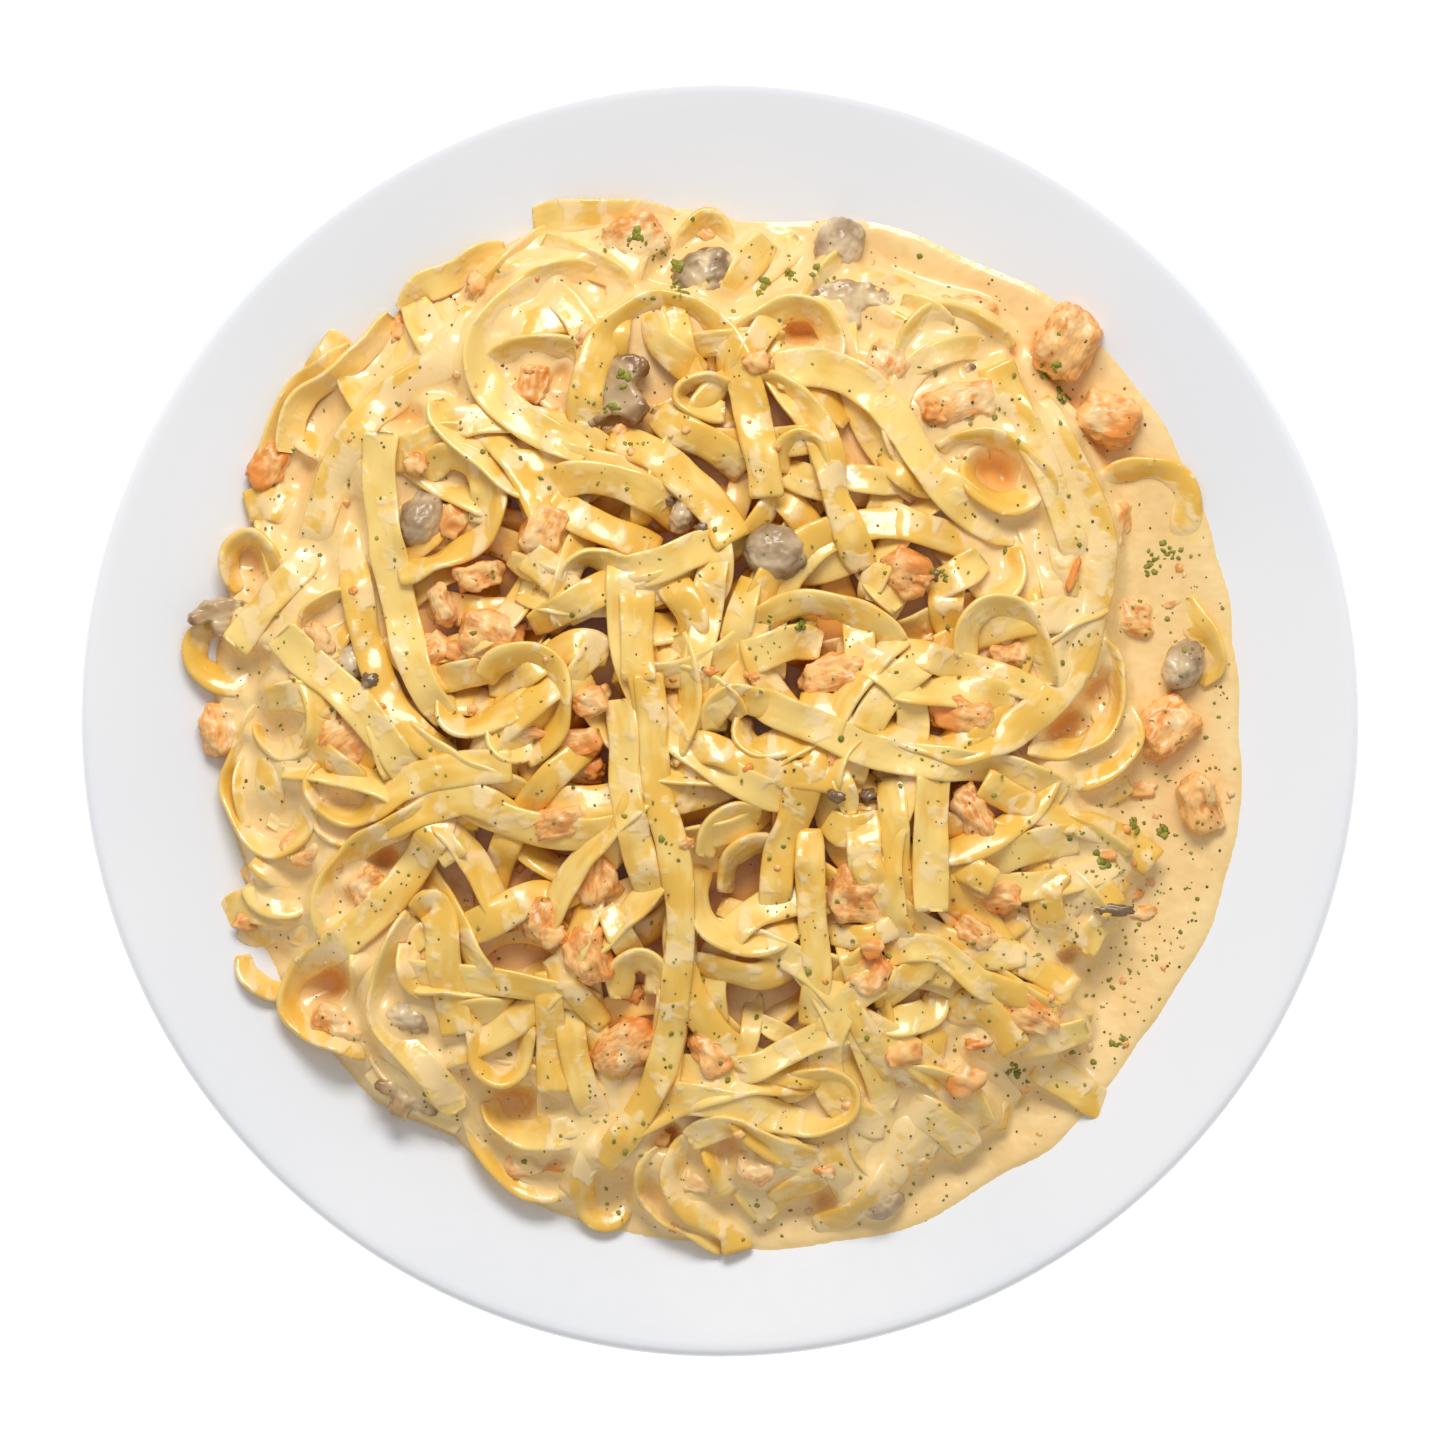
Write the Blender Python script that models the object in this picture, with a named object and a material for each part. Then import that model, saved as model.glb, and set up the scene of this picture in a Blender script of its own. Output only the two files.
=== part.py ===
"""Fettuccine alfredo with chicken and mushrooms, heaped on its round white plate.

Metres, +Z up. The origin is on the table, under the middle of the plate. The plate is
turned, the sauce lies in its well, the noodles are one uneven heap on the sauce, and
each piece of chicken or mushroom is a solid of its own, sunk in a pocket that fits it.
"""

import math
import random

import bmesh
import bpy
from mathutils import Euler, Matrix, Vector, noise

MM = 0.001
GAP = 0.00035

# Plate
PLATE_RADIUS = 0.140
PLATE_HEIGHT = 0.0235
PLATE_THICKNESS = 0.0042
PLATE_SEGMENTS = 48
WELL_RADIUS = 0.084
WELL_FLOOR = 0.0065
SHOULDER_RADIUS = 0.106
SHOULDER_HEIGHT = 0.0142
CURVE_RADII = (WELL_RADIUS, 0.090, 0.095, 0.100, SHOULDER_RADIUS)
UNDERSIDE_RADII = (0.122, SHOULDER_RADIUS, 0.098, 0.091)
RIM_SLOPE = (PLATE_HEIGHT - SHOULDER_HEIGHT) / (PLATE_RADIUS - SHOULDER_RADIUS)
LIP = 0.0021
LIP_TURNS = (45, 0, -45, -80)
FOOT_RADIUS = 0.083
FOOT_WIDTH = 0.006
FOOT_ROUNDING = 0.0006

# Sauce
SAUCE_LEVEL = 0.0150
SAUCE_FILM = 0.0013
SAUCE_RADIUS = 0.1140
SAUCE_SEGMENTS = 66
SAUCE_FLAT_RADIUS = 0.1042
SAUCE_TOP_RINGS = (0.0, 0.6, 0.9)
SAUCE_ROUNDING = 0.045
SAUCE_RIM_LIFT = 1.5 * GAP
SAUCE_UNDERCUT = 0.0008
# A bulge is where an edge leaves its circle: (direction in degrees, spread in degrees, millimetres).
SAUCE_BULGES = (
    (-25, 9, 3.0),
    (-48, 6, 4.5),
    (-68, 8, 4.5),
    (-84, 8, 2.0),
    (28, 8, 1.5),
    (46, 7, 3.0),
    (86, 8, -5.0),
    (120, 14, -1.5),
    (160, 14, -3.0),
    (190, 8, -6.0),
    (214, 10, -2.0),
    (237, 6, -6.0),
)

# Noodles
HEAP_RADIUS = 0.1125
HEAP_PEAK = 0.0400
HEAP_EDGE_HEIGHT = 0.0055
HEAP_FULLNESS = 2.3
HEAP_RINGS = 18
HEAP_SECTORS = 6
HEAP_UNDER_RINGS = (0.995, 0.92, 0.82)
HEAP_EDGE_DROP = 0.5
HEAP_EDGE_SHARPNESS = 12
HEAP_LUMP = 0.0024
HEAP_LUMP_SIZE = 0.021
HEAP_BULGES = (
    (4, 27, -23.0),
    (48, 9, -5.0),
    (86, 8, -4.0),
    (137, 9, 3.5),
    (168, 5, 2.0),
    (190, 8, -5.0),
    (205, 6, 2.0),
    (237, 6, -4.0),
    (273, 14, 2.0),
    (315, 3, 6.0),
)
RIBBON_WIDTH = 0.0076
RIBBON_RELIEF = 0.0022
RIBBON_COUNT = 90
RIBBON_BEND = (0.016, 0.060)

# Pieces on the heap, in millimetres and degrees:
# (across, up, length, width, height, turn, tilt, how far the top stands out)
CHICKEN = (
    (-99, 55, 11, 8, 7, 60, 10, 3.5),
    (-41, 72, 11, 9, 8, 70, 12, 3.0),
    (-18.6, 104, 14, 12, 9, 20, 8, 5.0),
    (36, 76.5, 12, 10, 9, 60, 12, 4.0),
    (51.5, 68, 19, 10, 9, 12, 6, 4.0),
    (76, 82, 16, 13, 11, 55, 8, 7.0),
    (85, 65.5, 14, 12, 9, -20, 10, 5.5),
    (54, 89.5, 15, 6, 6, -8, 5, 3.0),
    (86, 42, 12, 8, 8, 80, 8, 4.0),
    (40.6, 32, 11, 10, 9, -35, 10, 4.0),
    (90, 22, 10, 9, 9, -12, 9, 5.0),
    (98, -2, 14, 12, 10, 35, 14, 6.0),
    (105.3, -19, 14, 9, 9, -70, 10, 5.5),
    (52.7, 0.5, 17, 9, 9, -12, 5, 4.0),
    (25, 9, 16, 9, 9, 8, 8, 3.5),
    (62.5, 13, 9, 7, 8, 10, 5, 1.5),
    (55, -21, 13, 8, 8, -62, 10, 3.0),
    (61, -38.5, 10, 8, 8, 15, 8, 2.5),
    (55.5, -47, 10, 6, 7, -35, 6, 3.0),
    (30, -38, 14, 13, 10, -20, 8, 4.5),
    (32.5, -55.5, 11, 9, 8, 50, 10, 3.5),
    (67.5, -64, 14, 9, 8, -28, 10, 3.5),
    (-20.8, -72, 16, 11, 10, 32, 10, 5.0),
    (-2, -72.5, 11, 8, 6, -65, 4, 2.0),
    (-28.5, -51.5, 14, 10, 9, -65, 10, 4.0),
    (-38.6, -44, 10, 8, 8, 70, 8, 4.0),
    (-27, -34.3, 12, 10, 9, -72, 14, 3.5),
    (-34, -22.5, 14, 8, 8, 12, 8, 3.0),
    (-31, -6.3, 12, 7, 8, 15, 6, 2.5),
    (-28, 3.4, 9, 6, 8, 15, 6, 3.0),
    (-49.5, 17.5, 14, 12, 10, -15, 8, 4.5),
    (-60.4, 24.8, 10, 5, 8, -75, 5, 4.0),
    (-63.4, 13.4, 11, 8, 8, 35, 8, 3.5),
    (-38.5, 40, 12, 9, 9, 62, 10, 4.0),
    (-52.5, 30.6, 11, 6, 8, 12, 6, 3.5),
    (-82, -4, 14, 12, 10, 25, 10, 5.0),
    (-109.5, -2.7, 11, 9, 8, 80, 6, 4.0),
    (-91, -28.5, 9, 8, 8, 30, 8, 3.0),
    (-77, -36.5, 9, 7, 8, 35, 6, 1.5),
    (-83, -67, 14, 8, 8, -18, 8, 4.0),
    (-40, -96.5, 14, 9, 8, 10, 8, 3.0),
    (-4.4, -101.3, 9, 7, 7, -10, 6, 2.0),
    (8, -97, 10, 9, 8, -55, 8, 3.0),
)
MUSHROOM_CAPS = (
    (-3.3, 95.5, 17, 14, 9, 25, 10, 4.0),
    (26, 103.5, 13, 11, 8, 65, 8, 4.0),
    (-65, 43, 14, 10, 8, 55, 14, 3.0),
    (-80, 12.6, 12, 8, 8, 80, 8, 2.5),
    (-8, 44, 9, 6, 7, 70, 8, 2.0),
    (12, 36, 14, 12, 8, -20, 10, 3.0),
    (101.8, 11.5, 12, 9, 9, 55, 10, 5.0),
    (-67.6, -65, 13, 9, 8, -15, 8, 4.0),
    (35, -106, 10, 8, 7, 10, 8, 3.0),
)
MUSHROOM_SLICES = (
    (28, 90, 19, 11, 4, 0, 12, 3.0),
    (-22, 70, 18, 14, 4, 52, 16, 4.0),
    (-109.3, 22, 13, 8, 4, 10, 14, 4.0),
    (-69, -83.5, 14, 8, 4, -25, 12, 2.5),
)
CHUNK_CORNERS = (0.66, 0.9)
CHUNK_BULGE = 0.35
CAP_SIDES = 9
CAP_LEVELS = ((-0.5, 0.55), (-0.42, 0.88), (-0.12, 1.0), (0.24, 0.84), (0.44, 0.45))
CAP_HOLLOW = 0.34
SLICE_STALK = ((-0.38, -0.10), (-0.17, -0.02), (-0.15, -0.5), (0.13, -0.5), (0.17, -0.03), (0.39, -0.11))
SLICE_ARC_POINTS = 9
POCKET_HEADROOM = 9.0

COLOURS = {
    "plate": (0.86, 0.86, 0.87),
    "sauce": (0.84, 0.66, 0.36),
    "noodles": (0.88, 0.66, 0.25),
    "chicken": (0.72, 0.36, 0.17),
    "mushroom": (0.42, 0.33, 0.23),
}
ROUGHNESS = {"plate": 0.12, "sauce": 0.3, "noodles": 0.4, "chicken": 0.5, "mushroom": 0.45}


def clear_scene():
    for thing in list(bpy.data.objects):
        bpy.data.objects.remove(thing, do_unlink=True)


def material(name):
    made = bpy.data.materials.new(name)
    made.use_nodes = True
    shader = made.node_tree.nodes["Principled BSDF"]
    shader.inputs["Base Color"].default_value = (*COLOURS[name], 1.0)
    shader.inputs["Roughness"].default_value = ROUGHNESS[name]
    shader.inputs["Metallic"].default_value = 0.0
    return made


def new_object(name, bm, finish):
    """The bmesh as an object, its faces turned outward."""
    bmesh.ops.recalc_face_normals(bm, faces=bm.faces)
    mesh = bpy.data.meshes.new(name)
    bm.to_mesh(mesh)
    bm.free()
    mesh.shade_smooth()
    mesh.set_sharp_from_angle(angle=math.radians(40))
    thing = bpy.data.objects.new(name, mesh)
    bpy.context.scene.collection.objects.link(thing)
    if finish:
        mesh.materials.append(finish)
    return thing


# ---- the surfaces that everything else is placed on


def plate_top(radius):
    """Height of the plate's upper face."""
    if radius <= WELL_RADIUS:
        return WELL_FLOOR
    if radius >= SHOULDER_RADIUS:
        return SHOULDER_HEIGHT + (radius - SHOULDER_RADIUS) * RIM_SLOPE
    span = SHOULDER_RADIUS - WELL_RADIUS
    rise = SHOULDER_HEIGHT - WELL_FLOOR
    t = (radius - WELL_RADIUS) / span
    return WELL_FLOOR + rise * t * t * (3 - 2 * t) + RIM_SLOPE * span * t * t * (t - 1)


def edge_radius(base, bulges, angle):
    """A circle of radius base with bulges and bays."""
    radius = base
    for direction, spread, size in bulges:
        off = (math.degrees(angle) - direction + 180) % 360 - 180
        radius += size * MM * math.exp(-0.5 * (off / spread) ** 2)
    return radius


def sauce_edge(angle):
    return edge_radius(SAUCE_RADIUS, SAUCE_BULGES, angle)


def heap_edge(angle):
    return edge_radius(HEAP_RADIUS, HEAP_BULGES, angle)


def bed(radius):
    """Height of the sauce where it covers everything: level in the well, a film on the rim."""
    return max(SAUCE_LEVEL, plate_top(radius) + SAUCE_FILM)


def sauce_top(radius, angle):
    """Height of the sauce, or of the bare plate beyond its rounded edge."""
    share = radius / sauce_edge(angle)
    if share >= 1:
        return plate_top(radius)
    rounding = math.sqrt(1 - max(0.0, 1 - (1 - share) / SAUCE_ROUNDING) ** 2)
    return max(min(SAUCE_LEVEL, bed(radius)), plate_top(radius) + SAUCE_FILM * rounding)


def ribbon_arcs():
    """Centre, radius, first angle and sweep of each ribbon that shows as relief."""
    pick = random.Random(11)
    arcs = []
    for _ in range(RIBBON_COUNT):
        bend = pick.uniform(*RIBBON_BEND)
        reach = HEAP_RADIUS * math.sqrt(pick.random())
        direction = pick.uniform(0, math.tau)
        centre = Vector((reach * math.cos(direction), reach * math.sin(direction)))
        arcs.append((centre, bend, pick.uniform(0, math.tau), pick.uniform(1.0, 3.5)))
    return arcs


def relief(x, y, arcs):
    """How far the highest ribbon at this place stands up."""
    height = 0.0
    for centre, bend, start, sweep in arcs:
        away = Vector((x, y)) - centre
        along = (math.atan2(away.y, away.x) - start) % math.tau
        off = abs(away.length - bend) / (RIBBON_WIDTH / 2)
        if along < sweep and off < 1:
            height = max(height, RIBBON_RELIEF * (1 - off * off))
    return height


def heap_top(x, y, arcs):
    """Height of the heap of noodles."""
    radius, angle = math.hypot(x, y), math.atan2(y, x)
    share = min(radius / heap_edge(angle), 1.0)
    crown = (HEAP_PEAK - SAUCE_LEVEL - HEAP_EDGE_HEIGHT) * (1 - share**HEAP_FULLNESS)
    lump = HEAP_LUMP * noise.noise(Vector((x, y, 0.0)) / HEAP_LUMP_SIZE)
    edge = HEAP_EDGE_HEIGHT * (1 - HEAP_EDGE_DROP * share**HEAP_EDGE_SHARPNESS)
    return bed(radius) + edge + crown + lump + relief(x, y, arcs)


def surface(x, y, arcs):
    """Height of whatever lies uppermost: noodles, sauce or plate."""
    radius, angle = math.hypot(x, y), math.atan2(y, x)
    if radius < heap_edge(angle):
        return heap_top(x, y, arcs)
    return sauce_top(radius, angle)


# ---- plate


def plate_profile():
    """(radius, height) of the turned outline, from the middle of the top to that of the underside."""
    top = [0.0, *CURVE_RADII, PLATE_RADIUS - LIP]
    points = [(r, plate_top(r)) for r in top]
    lip_middle = plate_top(PLATE_RADIUS - LIP) - LIP
    for degrees in LIP_TURNS:
        turn = math.radians(degrees)
        points.append((PLATE_RADIUS - LIP + LIP * math.cos(turn), lip_middle + LIP * math.sin(turn)))
    for r in UNDERSIDE_RADII:
        points.append((r, plate_top(r) - PLATE_THICKNESS))
    outer = FOOT_RADIUS + FOOT_WIDTH / 2
    inner = FOOT_RADIUS - FOOT_WIDTH / 2
    points.append((outer + FOOT_ROUNDING, FOOT_ROUNDING))
    points.append((outer, 0.0))
    points.append((inner, 0.0))
    points.append((inner - FOOT_ROUNDING, FOOT_ROUNDING))
    points.append((inner - 2 * FOOT_ROUNDING, WELL_FLOOR - PLATE_THICKNESS))
    points.append((0.0, WELL_FLOOR - PLATE_THICKNESS))
    return points


def ring_of(bm, segments, radius_at, height_at):
    """One ring of points, the radius and the height being functions of the angle."""
    ring = []
    for i in range(segments):
        angle = math.tau * i / segments
        radius = radius_at(angle)
        place = (radius * math.cos(angle), radius * math.sin(angle), height_at(radius, angle))
        ring.append(bm.verts.new(place))
    return ring


def join_rings(bm, first, second):
    for i in range(len(first)):
        j = (i + 1) % len(first)
        bm.faces.new((first[i], first[j], second[j], second[i]))


def close_with_fan(bm, ring, height):
    middle = bm.verts.new((0.0, 0.0, height))
    for i in range(len(ring)):
        bm.faces.new((ring[i], ring[(i + 1) % len(ring)], middle))


def make_plate(finish):
    bm = bmesh.new()
    profile = plate_profile()
    rings = []
    for radius, height in profile[1:-1]:
        rings.append(ring_of(bm, PLATE_SEGMENTS, lambda a, r=radius: r, lambda r, a, z=height: z))
    for first, second in zip(rings, rings[1:]):
        join_rings(bm, first, second)
    close_with_fan(bm, rings[0], profile[0][1])
    close_with_fan(bm, rings[-1], profile[-1][1])
    return new_object("plate", bm, finish)


# ---- sauce


def sauce_ring(angle, share):
    return SAUCE_FLAT_RADIUS + share * (sauce_edge(angle) - SAUCE_FLAT_RADIUS)


def on_plate(radius, _):
    return plate_top(radius) + GAP


def make_sauce(finish):
    """A puddle from the plate up to its level, its edge a thin rounded film on the rim."""
    bm = bmesh.new()
    rings = []
    for share in SAUCE_TOP_RINGS:
        rings.append(ring_of(bm, SAUCE_SEGMENTS, lambda a, s=share: sauce_ring(a, s), sauce_top))
    rings.append(ring_of(bm, SAUCE_SEGMENTS, sauce_edge, lambda r, a: plate_top(r) + SAUCE_RIM_LIFT))
    rings.append(ring_of(bm, SAUCE_SEGMENTS, lambda a: sauce_edge(a) - SAUCE_UNDERCUT, on_plate))
    for radius in reversed(CURVE_RADII):
        rings.append(ring_of(bm, SAUCE_SEGMENTS, lambda a, r=radius: r, on_plate))
    for first, second in zip(rings, rings[1:]):
        join_rings(bm, first, second)
    close_with_fan(bm, rings[0], SAUCE_LEVEL)
    close_with_fan(bm, rings[-1], WELL_FLOOR + GAP)
    return new_object("sauce", bm, finish)


# ---- noodles


def make_noodles(finish, arcs):
    """The heap: rings of 6, 12, 18... points above, and a coarse underside that follows the sauce."""
    bm = bmesh.new()
    middle = bm.verts.new((0.0, 0.0, heap_top(0.0, 0.0, arcs)))
    rings = [[middle]]
    for step in range(1, HEAP_RINGS + 1):
        share = step / HEAP_RINGS
        rings.append(
            ring_of(
                bm,
                HEAP_SECTORS * step,
                lambda a, s=share: s * heap_edge(a),
                lambda r, a: heap_top(r * math.cos(a), r * math.sin(a), arcs),
            )
        )
    for step in range(HEAP_RINGS):
        join_sectors(bm, rings[step], rings[step + 1], step)
    count = len(rings[-1])
    below = [rings[-1]]
    for share in HEAP_UNDER_RINGS:
        below.append(ring_of(bm, count, lambda a, s=share: s * heap_edge(a), lambda r, a: bed(r) + GAP))
    for first, second in zip(below, below[1:]):
        join_rings(bm, first, second)
    close_with_fan(bm, below[-1], SAUCE_LEVEL + GAP)
    return new_object("noodles", bm, finish)


def join_sectors(bm, inner, outer, step):
    """Sectors of triangles between a ring of step points a sector and the next one out."""
    for sector in range(HEAP_SECTORS):
        for i in range(step + 1):
            a = outer[(sector * (step + 1) + i) % len(outer)]
            b = outer[(sector * (step + 1) + i + 1) % len(outer)]
            c = inner[(sector * step + i) % len(inner)]
            bm.faces.new((a, b, c))
            if i < step:
                d = inner[(sector * step + i + 1) % len(inner)]
                bm.faces.new((c, b, d))


# ---- pieces of chicken and mushroom


def chunk_shape(length, width, height, pick):
    """An uneven cut block, as the hull of eight corners and eight bulges inside its box."""
    bm = bmesh.new()
    for sx in (-1, 1):
        for sy in (-1, 1):
            for sz in (-1, 1):
                x, y, z = (pick.uniform(*CHUNK_CORNERS) / 2 for _ in range(3))
                bm.verts.new((sx * x * length, sy * y * width, sz * z * height))
    for sx, sy, sz in ((1, 0, 0), (-1, 0, 0), (0, 1, 0), (0, -1, 0), (0, 0, 1), (0, 0, -1)):
        wander = [pick.uniform(-CHUNK_BULGE, CHUNK_BULGE) for _ in range(3)]
        place = [s if s else w for s, w in zip((sx, sy, sz), wander)]
        bm.verts.new((place[0] * length / 2, place[1] * width / 2, place[2] * height / 2))
    hull_only(bm)
    return bm


def hull_only(bm):
    hull = bmesh.ops.convex_hull(bm, input=bm.verts)
    inside = [v for v in hull["geom_interior"] if isinstance(v, bmesh.types.BMVert)]
    bmesh.ops.delete(bm, geom=inside, context="VERTS")


def cap_shape(length, width, height, pick):
    """A mushroom cap cut in half: a dome with a drawn-in underside."""
    bm = bmesh.new()
    rings = []
    for level, share in CAP_LEVELS:
        ring = []
        for i in range(CAP_SIDES):
            angle = math.tau * i / CAP_SIDES
            reach = share * pick.uniform(0.93, 1.0) / 2
            x, y = reach * math.cos(angle) * length, reach * math.sin(angle) * width
            ring.append(bm.verts.new((x, y, level * height)))
        rings.append(ring)
    for first, second in zip(rings, rings[1:]):
        join_rings(bm, first, second)
    close_with_fan(bm, rings[0], -CAP_HOLLOW * height)
    close_with_fan(bm, rings[-1], 0.5 * height)
    return bm


def slice_shape(length, width, height, pick):
    """A slice down through a mushroom: the cap's arc, the notches under it, and the stalk."""
    outline = []
    for i in range(SLICE_ARC_POINTS):
        angle = math.pi * i / (SLICE_ARC_POINTS - 1)
        outline.append((0.5 * math.cos(angle), 0.5 * math.sin(angle) * pick.uniform(0.94, 1.0)))
    bm = bmesh.new()
    corners = [(x * length, y * width, -height / 2) for x, y in (*outline, *SLICE_STALK)]
    face = bm.faces.new([bm.verts.new(corner) for corner in corners])
    raised = bmesh.ops.extrude_face_region(bm, geom=[face])["geom"]
    moved = [v for v in raised if isinstance(v, bmesh.types.BMVert)]
    bmesh.ops.translate(bm, verts=moved, vec=(0, 0, height))
    bmesh.ops.triangulate(bm, faces=bm.faces)
    return bm


def place_piece(name, bm, piece, finish, arcs, pick):
    """Seats one piece in the surface and returns the box that cuts its pocket."""
    across, up, length, width, height, turn, tilt, proud = piece
    lean = math.radians(tilt)
    toward = pick.uniform(0, math.tau)
    pose = Euler((lean * math.cos(toward), lean * math.sin(toward), 0)).to_matrix()
    pose = (pose @ Matrix.Rotation(math.radians(turn), 3, "Z")).to_4x4()
    x, y = across * MM, up * MM
    level = surface(x, y, arcs) + (proud - height / 2) * MM
    pose = Matrix.Translation((x, y, level)) @ pose @ Matrix.Scale(MM, 4)
    bmesh.ops.transform(bm, matrix=pose, verts=bm.verts)
    lift = max(plate_top(v.co.xy.length) + 2 * GAP - v.co.z for v in bm.verts)
    raise_by = Matrix.Translation((0, 0, max(0.0, lift)))
    bmesh.ops.transform(bm, matrix=raise_by, verts=bm.verts)
    new_object(name, bm, finish)
    return pocket_cutter(name, raise_by @ pose, length, width, height)


def pocket_cutter(name, pose, length, width, height):
    """A box a gap larger than the piece, open upward."""
    bm = bmesh.new()
    made = bmesh.ops.create_cube(bm, size=1.0)["verts"]
    gap = GAP / MM
    size = (length + 2 * gap, width + 2 * gap, height + gap + POCKET_HEADROOM, 1)
    bmesh.ops.transform(bm, matrix=Matrix.Diagonal(size), verts=made)
    bmesh.ops.translate(bm, verts=made, vec=(0, 0, (POCKET_HEADROOM - gap) / 2))
    bmesh.ops.transform(bm, matrix=pose, verts=made)
    cutter = new_object(name + "_pocket", bm, None)
    cutter.hide_render = True
    cutter.display_type = "WIRE"
    return cutter


def make_pieces(finishes, arcs):
    """All the chicken and mushroom pieces, and their pocket cutters."""
    cutters = []
    kinds = (
        ("chicken", chunk_shape, CHICKEN),
        ("mushroom_cap", cap_shape, MUSHROOM_CAPS),
        ("mushroom_slice", slice_shape, MUSHROOM_SLICES),
    )
    for kind, shape, pieces in kinds:
        finish = finishes[kind.split("_")[0]]
        for number, piece in enumerate(pieces, start=1):
            name = f"{kind}_{number:02d}"
            pick = random.Random(name)
            bm = shape(*piece[2:5], pick)
            cutters.append(place_piece(name, bm, piece, finish, arcs, pick))
    return cutters


def reaches_sauce(cutter):
    """Whether any corner of the box is below the top of the sauce."""
    for v in cutter.data.vertices:
        if v.co.z < sauce_top(v.co.xy.length, math.atan2(v.co.y, v.co.x)):
            return True
    return False


def cut_pockets(body, cutters):
    for cutter in cutters:
        pocket = body.modifiers.new(cutter.name, "BOOLEAN")
        pocket.operation = "DIFFERENCE"
        pocket.solver = "EXACT"
        pocket.object = cutter


def main():
    clear_scene()
    finishes = {name: material(name) for name in COLOURS}
    arcs = ribbon_arcs()
    make_plate(finishes["plate"])
    sauce = make_sauce(finishes["sauce"])
    noodles = make_noodles(finishes["noodles"], arcs)
    cutters = make_pieces(finishes, arcs)
    cut_pockets(noodles, cutters)
    cut_pockets(sauce, [cutter for cutter in cutters if reaches_sauce(cutter)])


main()
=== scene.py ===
import math
import random

import bmesh
import bpy
import numpy as np
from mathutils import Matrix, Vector, noise
from mathutils.bvhtree import BVHTree


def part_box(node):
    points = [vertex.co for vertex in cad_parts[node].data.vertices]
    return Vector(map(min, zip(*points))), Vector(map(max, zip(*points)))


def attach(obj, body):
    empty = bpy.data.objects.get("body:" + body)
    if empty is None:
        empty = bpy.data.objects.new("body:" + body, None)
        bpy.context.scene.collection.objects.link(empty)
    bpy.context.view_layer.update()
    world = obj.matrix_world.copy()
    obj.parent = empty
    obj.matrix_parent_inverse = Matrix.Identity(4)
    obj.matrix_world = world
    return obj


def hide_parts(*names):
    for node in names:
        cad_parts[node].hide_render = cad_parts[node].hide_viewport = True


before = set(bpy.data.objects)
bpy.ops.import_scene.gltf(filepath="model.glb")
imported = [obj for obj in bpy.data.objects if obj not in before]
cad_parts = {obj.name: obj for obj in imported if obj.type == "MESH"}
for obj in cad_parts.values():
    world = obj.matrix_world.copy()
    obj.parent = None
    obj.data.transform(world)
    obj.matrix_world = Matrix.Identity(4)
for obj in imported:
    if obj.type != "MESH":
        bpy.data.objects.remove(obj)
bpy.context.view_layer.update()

MM = 0.001

# ---------------------------------------------------------------- sizes, in millimetres and degrees

# Ribbon. STEP is along it, CUP bends its section, and END_SINK and END_RUN bury an end.
RIBBON_THICK = 1.9
RIBBON_STEP = 0.9
RIBBON_CUP = 0.75
RIBBON_RIPPLE = 0.4
RIBBON_WOBBLE = 0.05
END_SINK = 3.2
END_RUN = 8.0
END_THICK = 0.72
# Outline of a cut ribbon as shares of half its width and half its thickness.
RIBBON_OUTLINE = (
    (-1.0, 0.0), (-0.95, 0.46), (-0.82, 0.76), (-0.56, 0.94), (-0.2, 1.0), (0.2, 1.0), (0.56, 0.94),
    (0.82, 0.76), (0.95, 0.46), (1.0, 0.0), (0.88, -0.7), (0.4, -1.0), (-0.4, -1.0), (-0.88, -0.7),
)

# How a ribbon settles on what lies under it: it spans dips up to twice BRIDGE_REACH, bends over
# BEND_RUN, is pressed PRESS_DEPTH into bumps, stands at most STAND_LIMIT over the heap, and follows
# SLOPE_SHARE of the slope, less where its own lean is near FREE_LEAN.
BRIDGE_REACH = 7.0
BEND_RUN = 2.4
PRESS_RUN = 1.6
PRESS_DEPTH = 0.5
STAND_LIMIT = 4.5
MOST_SLOPE = 32
SLOPE_RUN = 4.0
SLOPE_SHARE = 0.85
FREE_LEAN = 40
STAMP_STEP = 0.33

# Inner ribbons, which wander: (least, most) of their length, bend radius and width, the leans they
# take, how far inside the heap's edge they stay, and how deep an opening stops them, from 0 to 1.
FILL_RIBBONS = 234
FILL_STEP = 1.5
FILL_STRIDE = 2
FILL_LENGTH = (34.0, 78.0)
FILL_BEND = (14.0, 70.0)
FILL_DRIFT = 0.004
FILL_WIDTH = (6.4, 8.0)
FILL_LEANS = (0, 0, 0, 25, -25, 40, -40)
FILL_REACH = 0.97
FILL_MARGIN = 3.0
FILL_OPENING = 0.7
FEWEST_POINTS = 6

# Heap. Its height fields have a value every GRID_CELL, out to GRID_REACH each way. The core under the
# ribbons lies HEAP_DEPTH under the top, moved within HEAP_SINK so that the finished heap is as high as
# the solid one. EDGE_OVERLAP is in radians.
GRID_CELL = 0.5
GRID_REACH = 123.0
HEAP_BLUR = 3.2
HEAP_DEPTH = 9.0
HEAP_SINK = (-3.5, 10.0)
HOLE_DEPTH = 5.0
HOLE_MARGIN = 0.3
RAY_HEIGHT = 200.0
EDGE_SECTORS = 72
EDGE_OVERLAP = 0.03

# Chunks, by kind: (rounding passes, roughness, fibre, swelling, least height over the ribbons)
CHUNK_KINDS = {
    "chicken": (1, 1.2, 0.2, 1.06, 1.6),
    "mushroom_cap": (3, 0.7, 0.12, 1.16, 3.2),
    "mushroom_slice": (2, 0.7, 0.18, 1.12, 2.4),
}
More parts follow.
